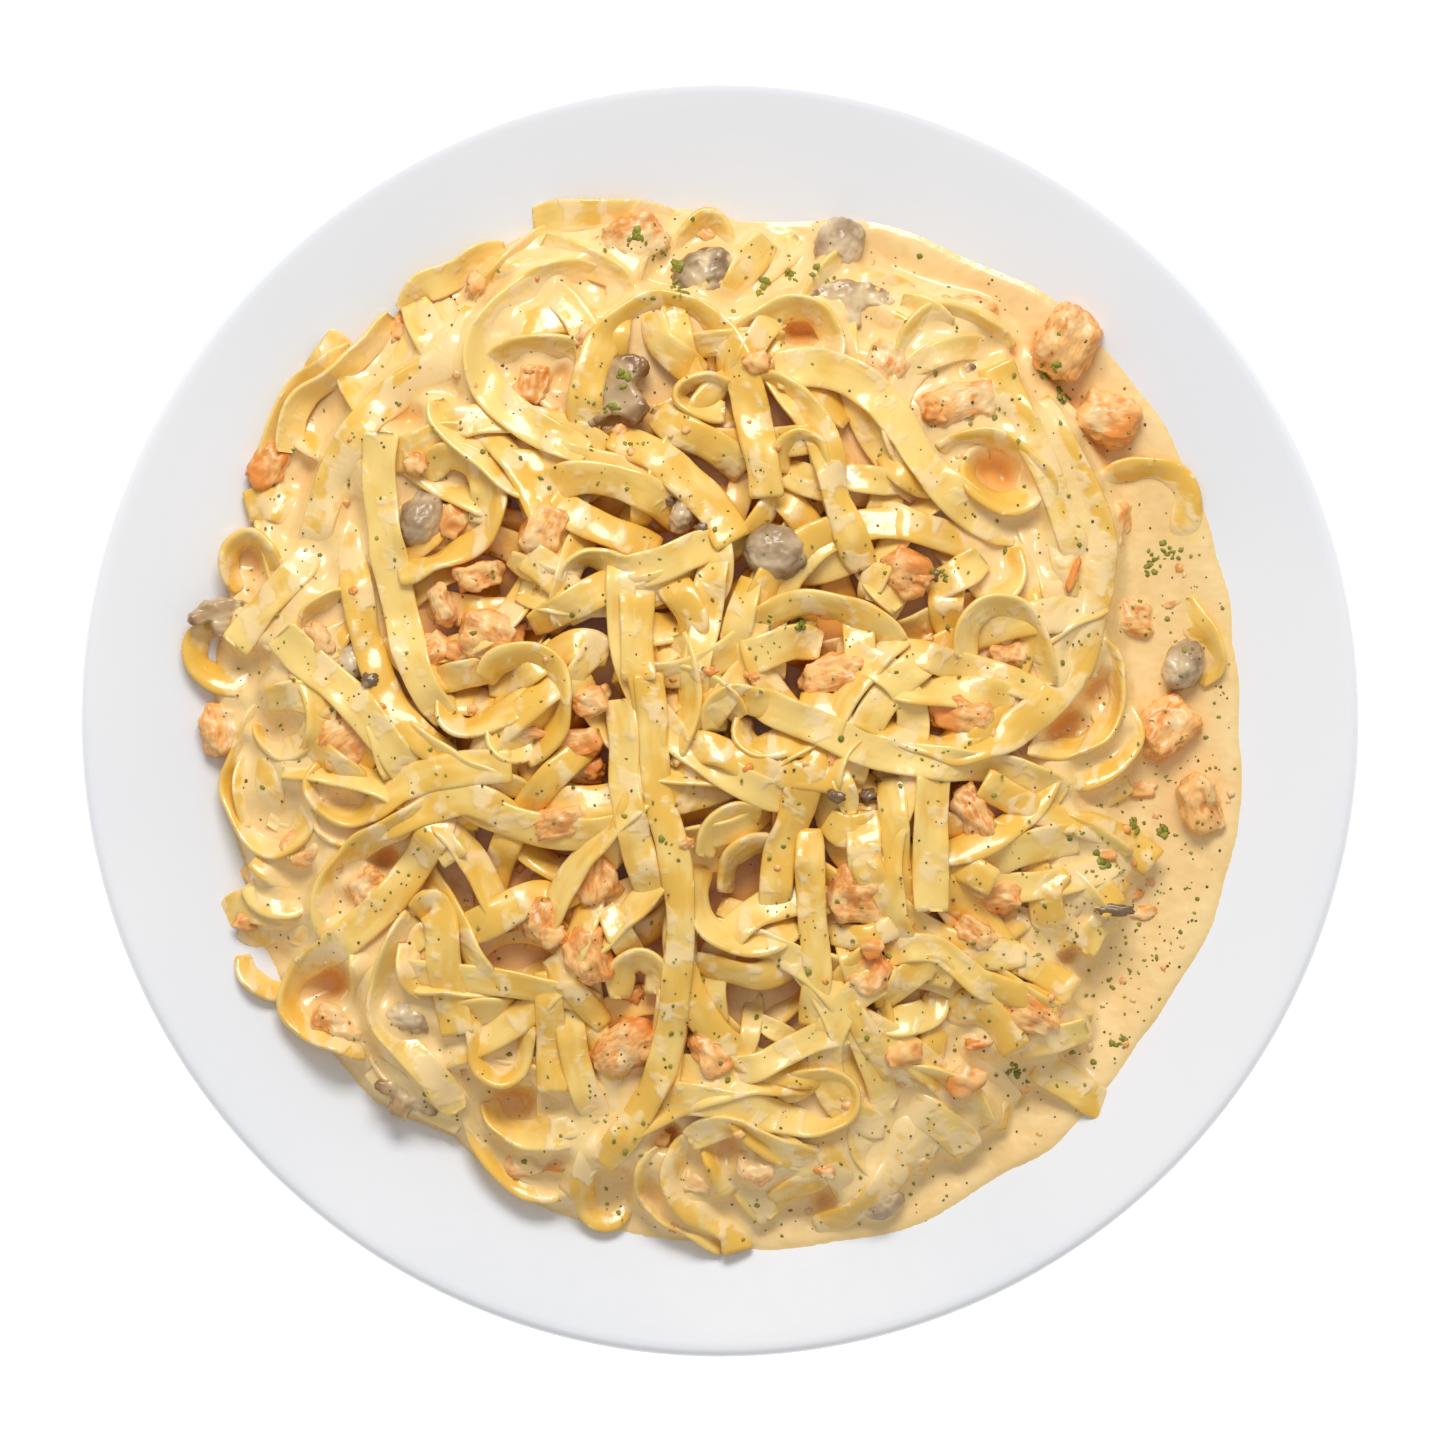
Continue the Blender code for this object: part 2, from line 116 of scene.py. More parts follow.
# Sizes of their lumps, grain, broken hollows and fibres (along, across), the range of their lift, and
# the percentile of their height that counts as their top.
CHUNK_LUMP = 3.4
CHUNK_GRAIN = 1.3
CHUNK_BREAK = 5.0
CHUNK_FIBRE = (5.0, 0.8)
CHUNK_LIFT = (-2.5, 5.0)
CHUNK_TOP = 97

# Sauce. Its pool lies at SAUCE_LEVEL. Its film lies FILM_DROP under the ribbons' backs and GAP_DEPTH
# down in gaps, and in patches it is drawn SMEAR_SHARE of the way over them. COAT_PATCHES are the
# (size, seed, share) of the thin coat on every piece. The finishes paint shade, a warm darkening, in
# the depths, which start DEPTH_START under the smoothed heap and are full DEPTH_RANGE below that.
FILM_CELL = 0.7
FILM_DROP = 0.6
FILM_RISE = 1.6
FILM_BLUR = 0.6
GAP_DEPTH = 1.7
OPENING_DEPTH = 3.6
CORE_COVER = 0.4
SMEAR_PATCH = 7.0
SMEAR_SHARE = 0.7
SMEAR_RISE = 0.15
SAUCE_LEVEL = 15.0
SAUCE_FILM = 1.3
SAUCE_ROUNDING = 4.5
SAUCE_SINK = 1.1
SAUCE_SKIRT = 1.4
EDGE_RUN = 5.0
EDGE_RISE = 14
COAT_PATCHES = ((6.0, 31, 0.45), (2.4, 32, 0.28))
DEPTH_START = 2.2
DEPTH_RANGE = 5.0

# Plate
PLATE_SEGMENTS = 192
PLATE_LIP = 2.1
PLATE_THICKNESS = 4.2
WELL_RADIUS = 84.0
SHOULDER_RADIUS = 106.0
SHOULDER_HEIGHT = 14.2
# The foot ring and the underside inside it: (radius, height).
FOOT_SECTION = (
    (88.5, 2.6), (87.0, 1.2), (86.4, 0.5), (85.8, 0.12), (85, 0), (81, 0), (80.2, 0.12), (79.6, 0.5),
    (79.2, 1.2), (78.4, 1.9), (76.5, 2.3), (60, 2.3), (30, 2.3), (0.0, 2.3),
)

# Herbs and crumbs. STEEPEST is the square of the steepest slope that they lie on. They lie everywhere,
# and more in the drifts: (across, up, width, height, share).
HERBS_EVERYWHERE = 0.30
HERB_DRIFTS = ((88, -52, 20, 30, 0.9), (103, 0, 10, 45, 0.30))
PARSLEY_SCRAPS = 900
PEPPER_GRAINS = 850
LOOSE_CRUMBS = 60
SCATTER_REACH = 118
STEEPEST = 2.2
SLOPE_REACH = 0.8

# Floor, light and camera, in metres and watts. The plate takes up PLATE_SHARE of the picture's width.
FLOOR_SIDE = 3.0
FLOOR_GLOW = 0.62
KEY_PLACE = (0.0, 1.15, 1.30)
KEY_SIZE = (0.9, 0.6)
KEY_POWER = 22.0
FILL_STRENGTH = 0.48
CAMERA_HEIGHT = 1.60
CAMERA_SHIFT = -0.00055
SENSOR = 36.0
PLATE_SHARE = 0.8895

# ---------------------------------------------------------------- where the ribbons lie
#
# A ribbon is (width, then points along its middle). A point is (across, up, lean): millimetres
# from the middle of the plate, and how many degrees the left side stands above the right side.

UNDER_RIBBONS = (
    # upper left
    (7, (-81, 86, 0), (-85, 80, 0), (-90, 74, 10)),
    (7.6, (-97, 50, 15), (-98, 58, 20), (-96, 66, 25), (-92, 72, 30), (-86, 76, 20), (-80, 80, 10)),
    (7.6, (-104, 46, 0), (-99, 47, 0), (-94, 45, 0), (-91, 41, 0)),
    (7.6, (-69, 89, 25), (-66, 94, 30), (-61, 96, 20), (-57, 98, 25), (-53, 101, 30), (-47, 102, 20)),
    (7.6, (-52, 88, 40), (-51, 94, 45), (-47, 99, 45), (-42, 103, 40), (-36, 106, 30)),
    (7.6, (-41, 109, 10), (-31, 110, 5), (-20, 110, 5), (-9, 108, 5)),
    (7.6, (-9, 101, 50), (-7, 106, 55), (-3, 109, 55), (0, 107, 50), (1, 102, 40)),
    (7.6, (-39, 104, 10), (-33, 101, 10), (-27, 99, 20), (-22, 96, 30), (-21, 91, 30)),
    (7.6, (-74, 56, 0), (-67, 58, 5), (-60, 61, 0), (-53, 60, 0)),
    (7.6, (-65, 53, 0), (-59, 57, 5), (-53, 55, 10), (-50.5, 49, 15), (-52, 42, 20)),
    (7.6, (-50, 95, 0), (-46, 95, 10), (-41, 97, 10), (-36, 97, 10)),
    # upper middle
    (7.6, (-40, 57, 0), (-30, 55, 0), (-21, 53, 0), (-13, 49, 0)),
    (7.6, (-39, 49, 10), (-31, 52, 5), (-22, 51, 0), (-13, 47, 0), (-8, 42, 0)),
    (7.6, (-37, 47, 0), (-30, 43, 0), (-22, 39.5, 0), (-13, 36.5, 0)),
    (7.6, (-14.5, 88, 30), (-13, 82, 30), (-9, 78, 10), (-4, 74, 0)),
    (7.6, (-14, 66, 0), (-8, 62, 0), (0, 58, 0), (5, 53, 0)),
    (6.5, (2, 72, -55), (-3, 73.5, -60), (-8, 72, -60), (-9, 69, -60), (-5, 66.5, -50), (1, 66, -30)),
    (7.6, (10, 80, 0), (14, 77, 0), (20, 77, 0), (24, 75, 0)),
    (6.5, (13, 53, 50), (13.5, 58, 60), (17, 61, 60), (21, 59, 60), (22, 54, 50), (20, 50, 40)),
    (6.5, (25, 52, 0), (32, 51.5, 0), (40, 51, 0)),
    (5.5, (-37, 38, 0), (-36, 32, 0), (-36.5, 25, 0)),
    # upper right
    (7.6, (36, 58, 0), (41, 53, 0), (47, 50.5, 0)),
    (8, (34, 44, 0), (43, 41, 0), (52, 38.5, 0), (60, 35.5, 0)),
    (8, (69, 71, 0), (74, 66, 0), (80, 60, 0), (87, 55.5, 0)),
    (6, (41, 76, 0), (47, 79, 10), (54, 81, 15), (62, 79.5, 0)),
    (6, (66, 46, 0), (68, 39, 0), (71, 32, 0), (73, 24, 0)),
    (5.5, (70, 46, 20), (73, 40, 20), (75, 33, 20), (76, 26, 20)),
    # left
    (7, (-84, 33, 0), (-90, 27, 0), (-95, 21, 0), (-100, 15.5, 0)),
    (
        7.6, (-111, 20, -40), (-114.5, 17, -45), (-114.5, 12, -45), (-110, 8.5, -35), (-104, 8, -20),
        (-98, 9, 0),
    ),
    (7.6, (-91, 19, 45), (-89, 23.5, 50), (-84, 26, 50), (-79, 25.5, 40)),
    (6, (-79, 23, 45), (-83, 17, 45), (-85, 11, 40)),
    (7.6, (-61, 8, 0), (-56, 9.5, 20), (-50, 10.5, 20)),
    (
        7.6, (-60, 5, -45), (-58.5, -0.5, -50), (-55, -2.5, -50), (-50, -1, -45), (-44, 2, -30),
        (-38, 4, -20),
    ),
    (6, (-50, -2, -50), (-48.5, -6, -50), (-45, -8, -40), (-40, -7, -30)),
    (
        7.6, (-100, 3, -40), (-104, -5, -50), (-107, -13, -50), (-106, -20, -50), (-102.5, -26, -50),
        (-97.5, -29, -50), (-92, -26, -50), (-89, -19, -45), (-87.5, -12, -30),
    ),
    (7.6, (-103, -8, -30), (-104, -16, -30), (-102, -24, -20)),
    (7.6, (-98, -9, 0), (-98.5, -17, 0), (-97, -24, 0)),
    (7.6, (-101, -1, -50), (-99.5, -5, -55), (-96, -7.5, -55), (-91, -6, -50), (-88.5, -2, -40)),
    (7.6, (-101, 1, 30), (-98, 6, 30), (-95.5, 10, 30)),
    (7.6, (-99, 4, 0), (-93, 5, 0), (-86, 3.5, 0), (-80, 2, 0)),
    (7.6, (-104, -50, 20), (-101, -47, 20), (-95, -46, 20), (-88, -48, 10), (-83, -50, 0)),
    (7.6, (-104, -52, -45), (-103, -56.5, -45), (-99, -59.5, -45), (-95, -60, -30)),
    (7.6, (-109, -44, 0), (-104, -41.5, 0), (-98, -42, 0), (-92, -41, 0)),
    (7.6, (-103, -36, 0), (-99, -40, -20), (-94, -41, -20), (-90, -38, -20)),
    (6, (-102, -31, -30), (-97, -34.5, -30), (-91, -36, -30)),
    # lower left
    (
        7.6, (-77, -48, -20), (-77.5, -57, -30), (-77, -66, -35), (-75, -73, -40), (-70, -79, -40),
        (-63, -84, -30),
    ),
    (6, (-68, -49, -30), (-67.5, -56, -30), (-64, -60, -30)),
    (8, (-57, -47, 0), (-50, -44, 0), (-43, -40, 0), (-36, -38, 0)),
    (
        7.6, (-58, -73, 0), (-55, -80, 0), (-52.5, -89, -20), (-48, -98, -40), (-42, -102.5, -45),
        (-35, -104, -40),
    ),
    (7, (-68, -73, 0), (-62, -78, 0), (-57, -84, 0), (-54.5, -89, 0)),
    (7.6, (-76, -76, 0), (-70, -80.5, 0), (-63, -84.5, 0), (-56, -88.5, 0)),
    # middle
    (7, (0, 37, 0), (-2, 29, 0), (-3, 20, 0), (-5, 11, 0), (-5, 3, 0)),
    (7, (7, 30, 0), (4.5, 22, 0), (2.5, 13, 0)),
    (7.6, (-13, 32, 0), (-9, 27, 0), (-6, 21, 0), (-7, 14, 0)),
    (7.6, (-9, 18, 50), (-6.5, 11, 50), (-6, 3, 50), (-8, -4, 50), (-11, -10, 40)),
    (7.6, (-38, 12, 0), (-31, 15.5, 0), (-24, 14, 0)),
    (6, (-33, 4, 20), (-31, 10, 20), (-26.5, 14.5, 20)),
    (8, (2, 11.5, 0), (9, 14, 0), (16, 16.5, 0), (22, 15.5, 0)),
    (6.5, (39, 15, 0), (47, 12.5, 0), (56, 10, 0), (64, 7.5, 0), (70, 5, 0)),
    (7.6, (34, 8.5, -30), (41, 5.5, -40), (48, 5.5, -30), (56, 5, -10), (64, 3.5, 0)),
    (
        7.6, (8, 4, 0), (16, 0, 0), (25, -4, 0), (34, -7.5, 0), (44, -9.5, 0), (54, -10, 10),
        (62, -11, 20), (69, -13.5, 30), (75, -17, 20),
    ),
    (7.6, (5, 0, -50), (5, -4, -50), (8, -6.5, -50), (14, -5.5, -40), (20, -5.5, -30)),
    (7.6, (1, -38, 60), (2, -31, 60), (6, -27.5, 60), (11, -27, 50)),
    (7.6, (31, -20, 0), (31, -28, 0), (32, -36, 0)),
    (7, (37, -13, 0), (37.5, -22, 0), (38.5, -32, 0), (40, -41, 0)),
    (7.6, (23, -22, 0), (28, -25, 0), (33, -24, 0)),
    (5, (24, -9, 0), (26.5, -15, 0), (28, -21, 0)),
    # right
    (7.6, (88, 2, 50), (90, -4, 50), (87, -9.5, 50), (81, -12.5, 40), (76, -13, 30)),
    (5, (79, -19, 0), (84, -17.5, 0), (90, -14.5, 0)),
    (7.6, (102, 26, 40), (104.5, 21, 40), (108, 16.5, 40), (108.5, 11.5, 40), (105, 8, 30)),
    (7.6, (63.5, 37, 45), (64, 31, 45), (61.5, 27, 45), (56, 26, 30)),
    (7.6, (50, 31, 0), (49, 25, 0), (50, 18, 0)),
    (7.6, (57, 35, 0), (52, 31, 0), (45, 27, 0)),
    # lower right
    (7, (34, -66, 0), (40, -66, 0), (46, -64, 0), (47.5, -60, 0)),
    (6, (50, -52, 0), (57, -57, 0), (64, -60, 0), (72, -62, 0)),
    (7.5, (69, -76, 0), (76, -80, 0), (82, -84, 0), (86, -86, 0)),
    (8.5, (38, -84, 0), (45, -86.5, 0), (51, -90.5, 0), (55, -95, 0)),
    (7.6, (42, -92, 0), (48, -94, 0)),
    (7.6, (33, -80.5, 0), (39, -83, 0)),
    (6, (24, -47, 0), (31, -47.5, 0), (38, -45, 0), (42, -42, 0)),
    (6, (36, -51, -40), (39, -54, -40), (37.5, -59, -40), (33, -61, -30)),
    # bottom
    (
        7.6, (-13, -94, -50), (-16.5, -99.5, -55), (-16.5, -105, -55), (-12, -109, -50),
        (-5, -112, -40), (1, -116, -20),
    ),
    (
        6.5, (-26.5, -90, -30), (-29, -97, -35), (-30, -103, -35), (-28, -108.5, -35),
        (-24, -109.5, -35), (-21, -105, -30),
    ),
    (6, (24, -88, 0), (24, -95, 0), (27, -102, 0), (30, -107, 0)),
    (6, (29.5, -87, -40), (30.5, -94, -40), (33.5, -100.5, -40)),
    (6, (-25, -41, 0), (-21, -48, 0), (-17, -55, 0)),
    (7.6, (-22, -61, 45), (-21.5, -54.5, 50), (-17.5, -52, 50), (-13.5, -54.5, 50), (-13.5, -60, 40)),
    (6, (-37, -52, 0), (-31, -60, 0), (-25, -67, 0)),
    (4.5, (8, -60, 0), (7, -66, 0), (5.5, -73, 0)),
    (4.5, (8, -66, 0), (14, -69, 0), (17, -71, 0)),
)

OVER_RIBBONS = (
    # upper left
    (7.6, (-95, 58, 20), (-94, 66, 45), (-91, 71, 55), (-85, 75, 55), (-78, 81, 50), (-72, 88, 40)),
    (7.6, (-67, 91, 10), (-64, 85, 0), (-61, 79, 0), (-59, 74, 0)),
    (
        7, (-82, 46, 0), (-81, 38, 0), (-79, 28, 0), (-77, 18, 0), (-74, 9, 0), (-70, 1, 0),
        (-64, -5, 0), (-58, -9, 0),
    ),
    (
        8, (-73.5, 62, 0), (-74, 52, 0), (-73, 44, 0), (-72, 36, 0), (-70, 26, 0), (-67, 14, 0),
        (-63, 5, 0), (-59, 0, 0),
    ),
    (
        8, (-53, 89, 0), (-56, 82, 5), (-62, 76, 5), (-70, 71, 0), (-77, 65, 0), (-82, 57, 0),
        (-85.5, 49, 0), (-88, 41, 0), (-89.5, 35, 0),
    ),
    (7, (-51, 76, 30), (-46, 80, 45), (-40, 81.5, 45), (-33, 80.5, 40), (-30, 77, 30)),
    (
        8, (-27, 97, -40), (-36, 97, -35), (-44, 92, -30), (-50, 86, -30), (-53, 79, -35),
        (-51, 72, -20), (-45, 66, -5), (-38, 61.5, 0), (-29, 57, 0),
    ),
    (
        7.6, (-62, 69, -45), (-61, 65, -45), (-57, 60.5, -45), (-51, 56, -45), (-47, 52, -40),
        (-42, 50, -30), (-36, 49, -20),
    ),
    (7.6, (-49, 52, 45), (-48.5, 46, 55), (-51, 40, 55), (-57, 36, 55), (-64, 33, 55), (-70, 31, 45)),
    (
        7.6, (-97, 32, -50), (-99, 37, -60), (-103, 39.5, -60), (-107, 37, -60), (-107.5, 32, -60),
        (-105, 28, -50),
    ),
    # upper middle
    (
        8.5, (12, 75, 0), (20, 76, 0), (28, 74, 0), (34, 69.5, 0), (39, 63, 0), (44, 55, 0),
        (50, 49, 0), (58, 43, 0), (65, 40, 0),
    ),
    (8.5, (-24, 61, 0), (-14, 57, 0), (-7, 51, 0), (-1, 45, 0), (3, 38, 0)),
    (8, (2, 82, 40), (8, 86.5, 50), (15, 89.5, 50), (21, 88.5, 50), (24.5, 83, 45), (24.5, 77, 35)),
    (
        7.6, (7, 72, 55), (12, 73, 55), (17, 69.5, 45), (21, 63, 25), (23.5, 56, 10), (25, 48, 0),
        (28, 40, 0), (31, 32, 0),
    ),
    (
        8, (-29.5, 62, 10), (-29, 71, 15), (-26.5, 79, 25), (-22, 86, 45), (-15, 90, 50), (-7, 89, 50),
        (-1, 85, 40), (3.5, 78, 20), (6, 70, 8), (8, 61, 0), (9.5, 53, 0), (10, 47.5, 0),
    ),
    # upper right
    (8, (40, 79, 40), (42.5, 85, 50), (47, 88.5, 50), (53, 87.5, 50), (59, 85, 50), (63, 80, 40)),
    (8, (48, 57.5, 50), (53, 60.5, 60), (60, 60.5, 60), (66, 57, 60), (70, 51.5, 55), (69, 46, 40)),
    (
        7.6, (59, 58, -50), (55.5, 57, -60), (54, 53, -60), (56, 49.5, -60), (61, 47, -60),
        (66, 47.5, -50), (70, 50, -40),
    ),
    (7.6, (60, 77, 0), (63, 70, 0), (67, 62, 0), (71, 54, 0), (74, 46, 0), (77, 38, 0), (79, 32, 0)),
    (
        8, (69, 69, 20), (74, 60, 30), (79, 50, 30), (82.5, 40, 20), (82.5, 30, 10), (81, 20, 0),
        (77.5, 11, 0), (72, 4, 0), (66, -1, 10), (59, -5, 35), (51, -7, 45), (43, -5, 50), (36, -2, 50),
        (27, 1, 40), (17, 3, 20),
    ),
    (
        7, (83, 50, 30), (87, 53.5, 45), (93, 54.5, 45), (99, 53, 40), (102, 49, 25), (102, 42, 5),
        (101, 35, 0),
    ),
    # left
    (7, (-57, -31, 0), (-59, -28, 0), (-63, -24, 0)),
    (7.2, (-106, 15.5, 0), (-102, 20.5, 0), (-97, 26.5, 0), (-92, 32, 0), (-89, 36, 0)),
    (
        8, (-95.5, 18.5, 0), (-90, 12.5, 0), (-84, 7.5, 0), (-78, 2, 0), (-73, -4, 0), (-68.5, -10, 0),
        (-66, -13.5, 0),
    ),
    (
        7.6, (-51, 8, 30), (-48, 12, 30), (-42, 13.5, 40), (-37, 11.5, 55), (-34, 6, 60),
        (-34.5, 0, 60), (-37.5, -5.5, 55), (-42, -9.5, 40),
    ),
    (
        7.6, (-88, -20, -60), (-86, -24.5, -60), (-80, -26, -50), (-72, -23, -30), (-64, -19.5, -10),
        (-56, -17.5, 0), (-50, -19, 0), (-44, -23, 0),
    ),
    (
        8, (-86, -11, -50), (-88.5, -15, -60), (-86.5, -19.5, -60), (-81, -21.5, -60),
        (-75, -19.5, -45), (-69, -15, -20), (-63, -12.5, -5), (-55, -11, 0), (-45, -10.5, 0),
    ),
    (
        7.6, (-61, -19, -20), (-70, -23.5, -40), (-78, -27.5, -50), (-84, -33, -50), (-86.5, -39, -45),
        (-85.5, -45, -30), (-82, -49, -10),
    ),
    (
        7.6, (-60, -20, 0), (-62.5, -26, 0), (-66, -32, 0), (-71, -38.5, 0), (-77, -44.5, 0),
        (-84, -50, -15), (-91, -54.5, -45), (-94.5, -60, -55), (-94, -65, -55), (-89, -69, -50),
        (-82, -71, -40), (-77, -72.5, -30),
    ),
    # lower left
    (
        7.6, (-67, -43, -40), (-71, -48, -50), (-73.5, -56, -50), (-75, -62.5, -50), (-73, -68.5, -45),
        (-67.5, -73.5, -30), (-62, -79, -10), (-57, -86, 0),
    ),
    (
        8, (-66, -43, 20), (-62.5, -40.5, 30), (-60.5, -45, 0), (-60, -53, 0), (-58.5, -61, 0),
        (-57, -69, 0),
    ),
    (
        7, (-53, -62, -50), (-53, -70, -55), (-51.5, -76, -55), (-47.5, -78.5, -55), (-44, -75.5, -55),
        (-42.5, -69, -50), (-43.5, -62.5, -40),
    ),
    (7.6, (-51, -84, -45), (-49, -88.5, -50), (-43, -91.5, -45), (-36, -91, -20), (-29, -89.5, -5)),
    (7, (-38, -55, 0), (-37, -63, 0), (-36.5, -72, 0), (-36.5, -81.5, 0)),
    (6.5, (-33, -63, 0), (-32, -72, 0), (-30, -80, 0), (-26, -88, 0)),
    # middle
    (8, (-41, 20, 10), (-34, 23.5, 10), (-27, 27, 5), (-21, 30, 0)),
    (
        7.6, (-33, 26, 50), (-33, 31.5, 55), (-29.5, 35, 55), (-25, 34.5, 50), (-20, 32, 30),
        (-13, 33, 20), (-6, 36, 15), (-1, 38, 10),
    ),
    (8, (-18, 32, 0), (-18, 25, 0), (-18, 16, 0), (-17.5, 8, 0)),
    (
        7.6, (-21.5, 4, 0), (-20.5, -5, 0), (-20.5, -14, 0), (-19, -23, 0), (-17, -31, 0),
        (-14.5, -39, 0),
    ),
    (7.6, (6, 18.5, 20), (12, 23, 35), (19, 25, 40), (27, 23.5, 40), (34, 20, 35), (39, 15.5, 30)),
    (7.6, (-1.5, -3, 35), (-1, 2, 40), (3, 4.8, 40), (8, 3.5, 30), (13, 3, 15)),
    (8, (-10, -7, 0), (-3, -6.5, 0), (4, -9, 0), (10, -13, 0), (14, -18, 0)),
    (7.6, (-4, -30, 45), (-2, -24, 50), (3, -20.5, 50), (9, -20.5, 40)),
    (
        7.6, (-4, -32, -40), (-5, -39, -45), (-3, -45, -45), (3, -48.5, -45), (10, -48.5, -40),
        (17, -45, -30),
    ),
    (7, (-5.5, -53, 30), (2, -55, 35), (9, -56, 35), (17, -53, 30)),
    (
        8, (16, -6, -10), (19.5, -8.5, 0), (18, -15, 0), (16, -22, 0), (13, -30, 0), (12, -38, 0),
        (12, -44, 0),
    ),
    (6.5, (19.5, -24, 0), (19.5, -34, 0), (20, -44, 0), (21, -54, 0), (20.5, -61, 0), (19.5, -67, 0)),
    (8, (46, -12.5, 0), (45.5, -20, 0), (45.5, -30, 0), (45.5, -42, 0)),
    (
        7, (-15.5, 9.5, 0), (-14.5, 0, 0), (-14, -10, 0), (-13, -18, 0), (-10.5, -27, 0), (-9, -36, 0),
        (-8.5, -46, 0), (-9.5, -57, 0), (-10.5, -67, 0), (-13, -77, 0), (-17, -85, 0), (-21.5, -92, 0),
        (-26, -97.5, 0),
    ),
    # right
    (
        7.6, (53, 13, 40), (53.5, 20, 45), (58, 24.5, 45), (64, 24, 45), (68.5, 19, 45), (70.5, 12, 40),
        (71, 7, 30),
    ),
    (
        7.6, (83, 17, 50), (86.5, 11, 60), (87.5, 4, 60), (85, -2, 60), (80, -6, 60), (73, -7.5, 55),
        (67, -6.5, 40),
    ),
    (7, (57, -14, 0), (65, -18.5, 0), (74, -22, 0), (82, -24, 0), (89, -27, 0), (95, -32, 0)),
    (8, (57, -31.5, 0), (64, -29, 0), (71, -27, 0), (78, -26, 0)),
    (7, (49, -31, 0), (54, -33, 0), (59.5, -36, 0)),
    (7, (76, -33, 0), (82, -37, 0), (86.5, -42, 0)),
    (6, (86, -41, 0), (82, -46, 0), (79, -51, 0)),
    (7.5, (75, -33, 20), (71, -37, 10), (71.5, -44, 0), (75, -51, 0)),
    # lower right
    (
        6, (36, -52, -15), (41, -50, -20), (47, -50.5, -20), (52, -54, -20), (57, -58, -15),
        (63, -60.5, -10),
    ),
    (6.5, (35, -61, 0), (39, -57.5, 0), (44, -54, 0), (48, -54.5, 20), (47.5, -58.5, 20)),
    (7, (60, -50.5, 0), (66, -53, 0), (71, -56, 0), (77, -60, 0)),
    (6.5, (65, -71.5, 0), (72, -70, 0), (80, -67.5, 0)),
    (8, (49, -64.5, 0), (55, -63, 0), (60, -66, 0), (64.5, -72.5, 0)),
    (7.6, (35, -79.5, 40), (42, -77.5, 50), (49, -78.5, 50), (55, -83, 50), (58.5, -89, 40)),
    (
        7.6, (37, -85, 0), (39.5, -91, 0), (38.5, -98, -20), (34.5, -104, -40), (28.5, -109, -45),
        (21, -112, -40),
    ),
    (6, (25, -57, 0), (28.5, -63, 0), (32.5, -70, 0), (37, -78, 0)),
    # bottom
    (6.5, (1, -76.5, 0), (8, -76, 0), (15, -72.5, 0), (22, -69, 0), (30, -67, 0)),
    (
        7.6, (-13, -82.5, 0), (-4, -83, 0), (6, -85, 0), (14, -87.5, -20), (22, -89, -45),
        (27.5, -86, -55), (28, -81, -55), (23, -78, -50), (17, -79.5, -30), (12, -81.5, -10),
    ),
    (6, (1, -91, -40), (-2, -94.5, -50), (-0.5, -99, -50), (2.5, -104, -30)),
    (
        7.6, (-5, -91.5, -40), (-8.5, -95, -50), (-10.5, -101, -50), (-8, -106, -45), (-3, -109, -30),
        (2.5, -112.5, -20), (4, -117, -10),
    ),
    (6.5, (-7, -92, 20), (-2, -89, 40), (4, -88.5, 45), (9, -91, 45), (14, -94, 40), (21, -95, 20)),
)

# Ends that lie in the open and show their square cut: (across, up). All others sink into the sauce.
CUT_ENDS = (
    (-106, 15.5), (-95.5, 18.5), (-45, -10.5), (10, 47.5), (3, 38), (-36.5, -81.5), (46, -12.5),
    (45.5, -42), (59.5, -36), (86.5, -42), (77, -60), (80, -67.5), (95, -32), (-15.5, 9.5),
    (-73.5, 62), (12, 75), (57, -14), (60, 77), (4, -117), (-17.5, 8), (-57, -69), (64.5, -72.5),
    (79, -51), (-57, -31),
)

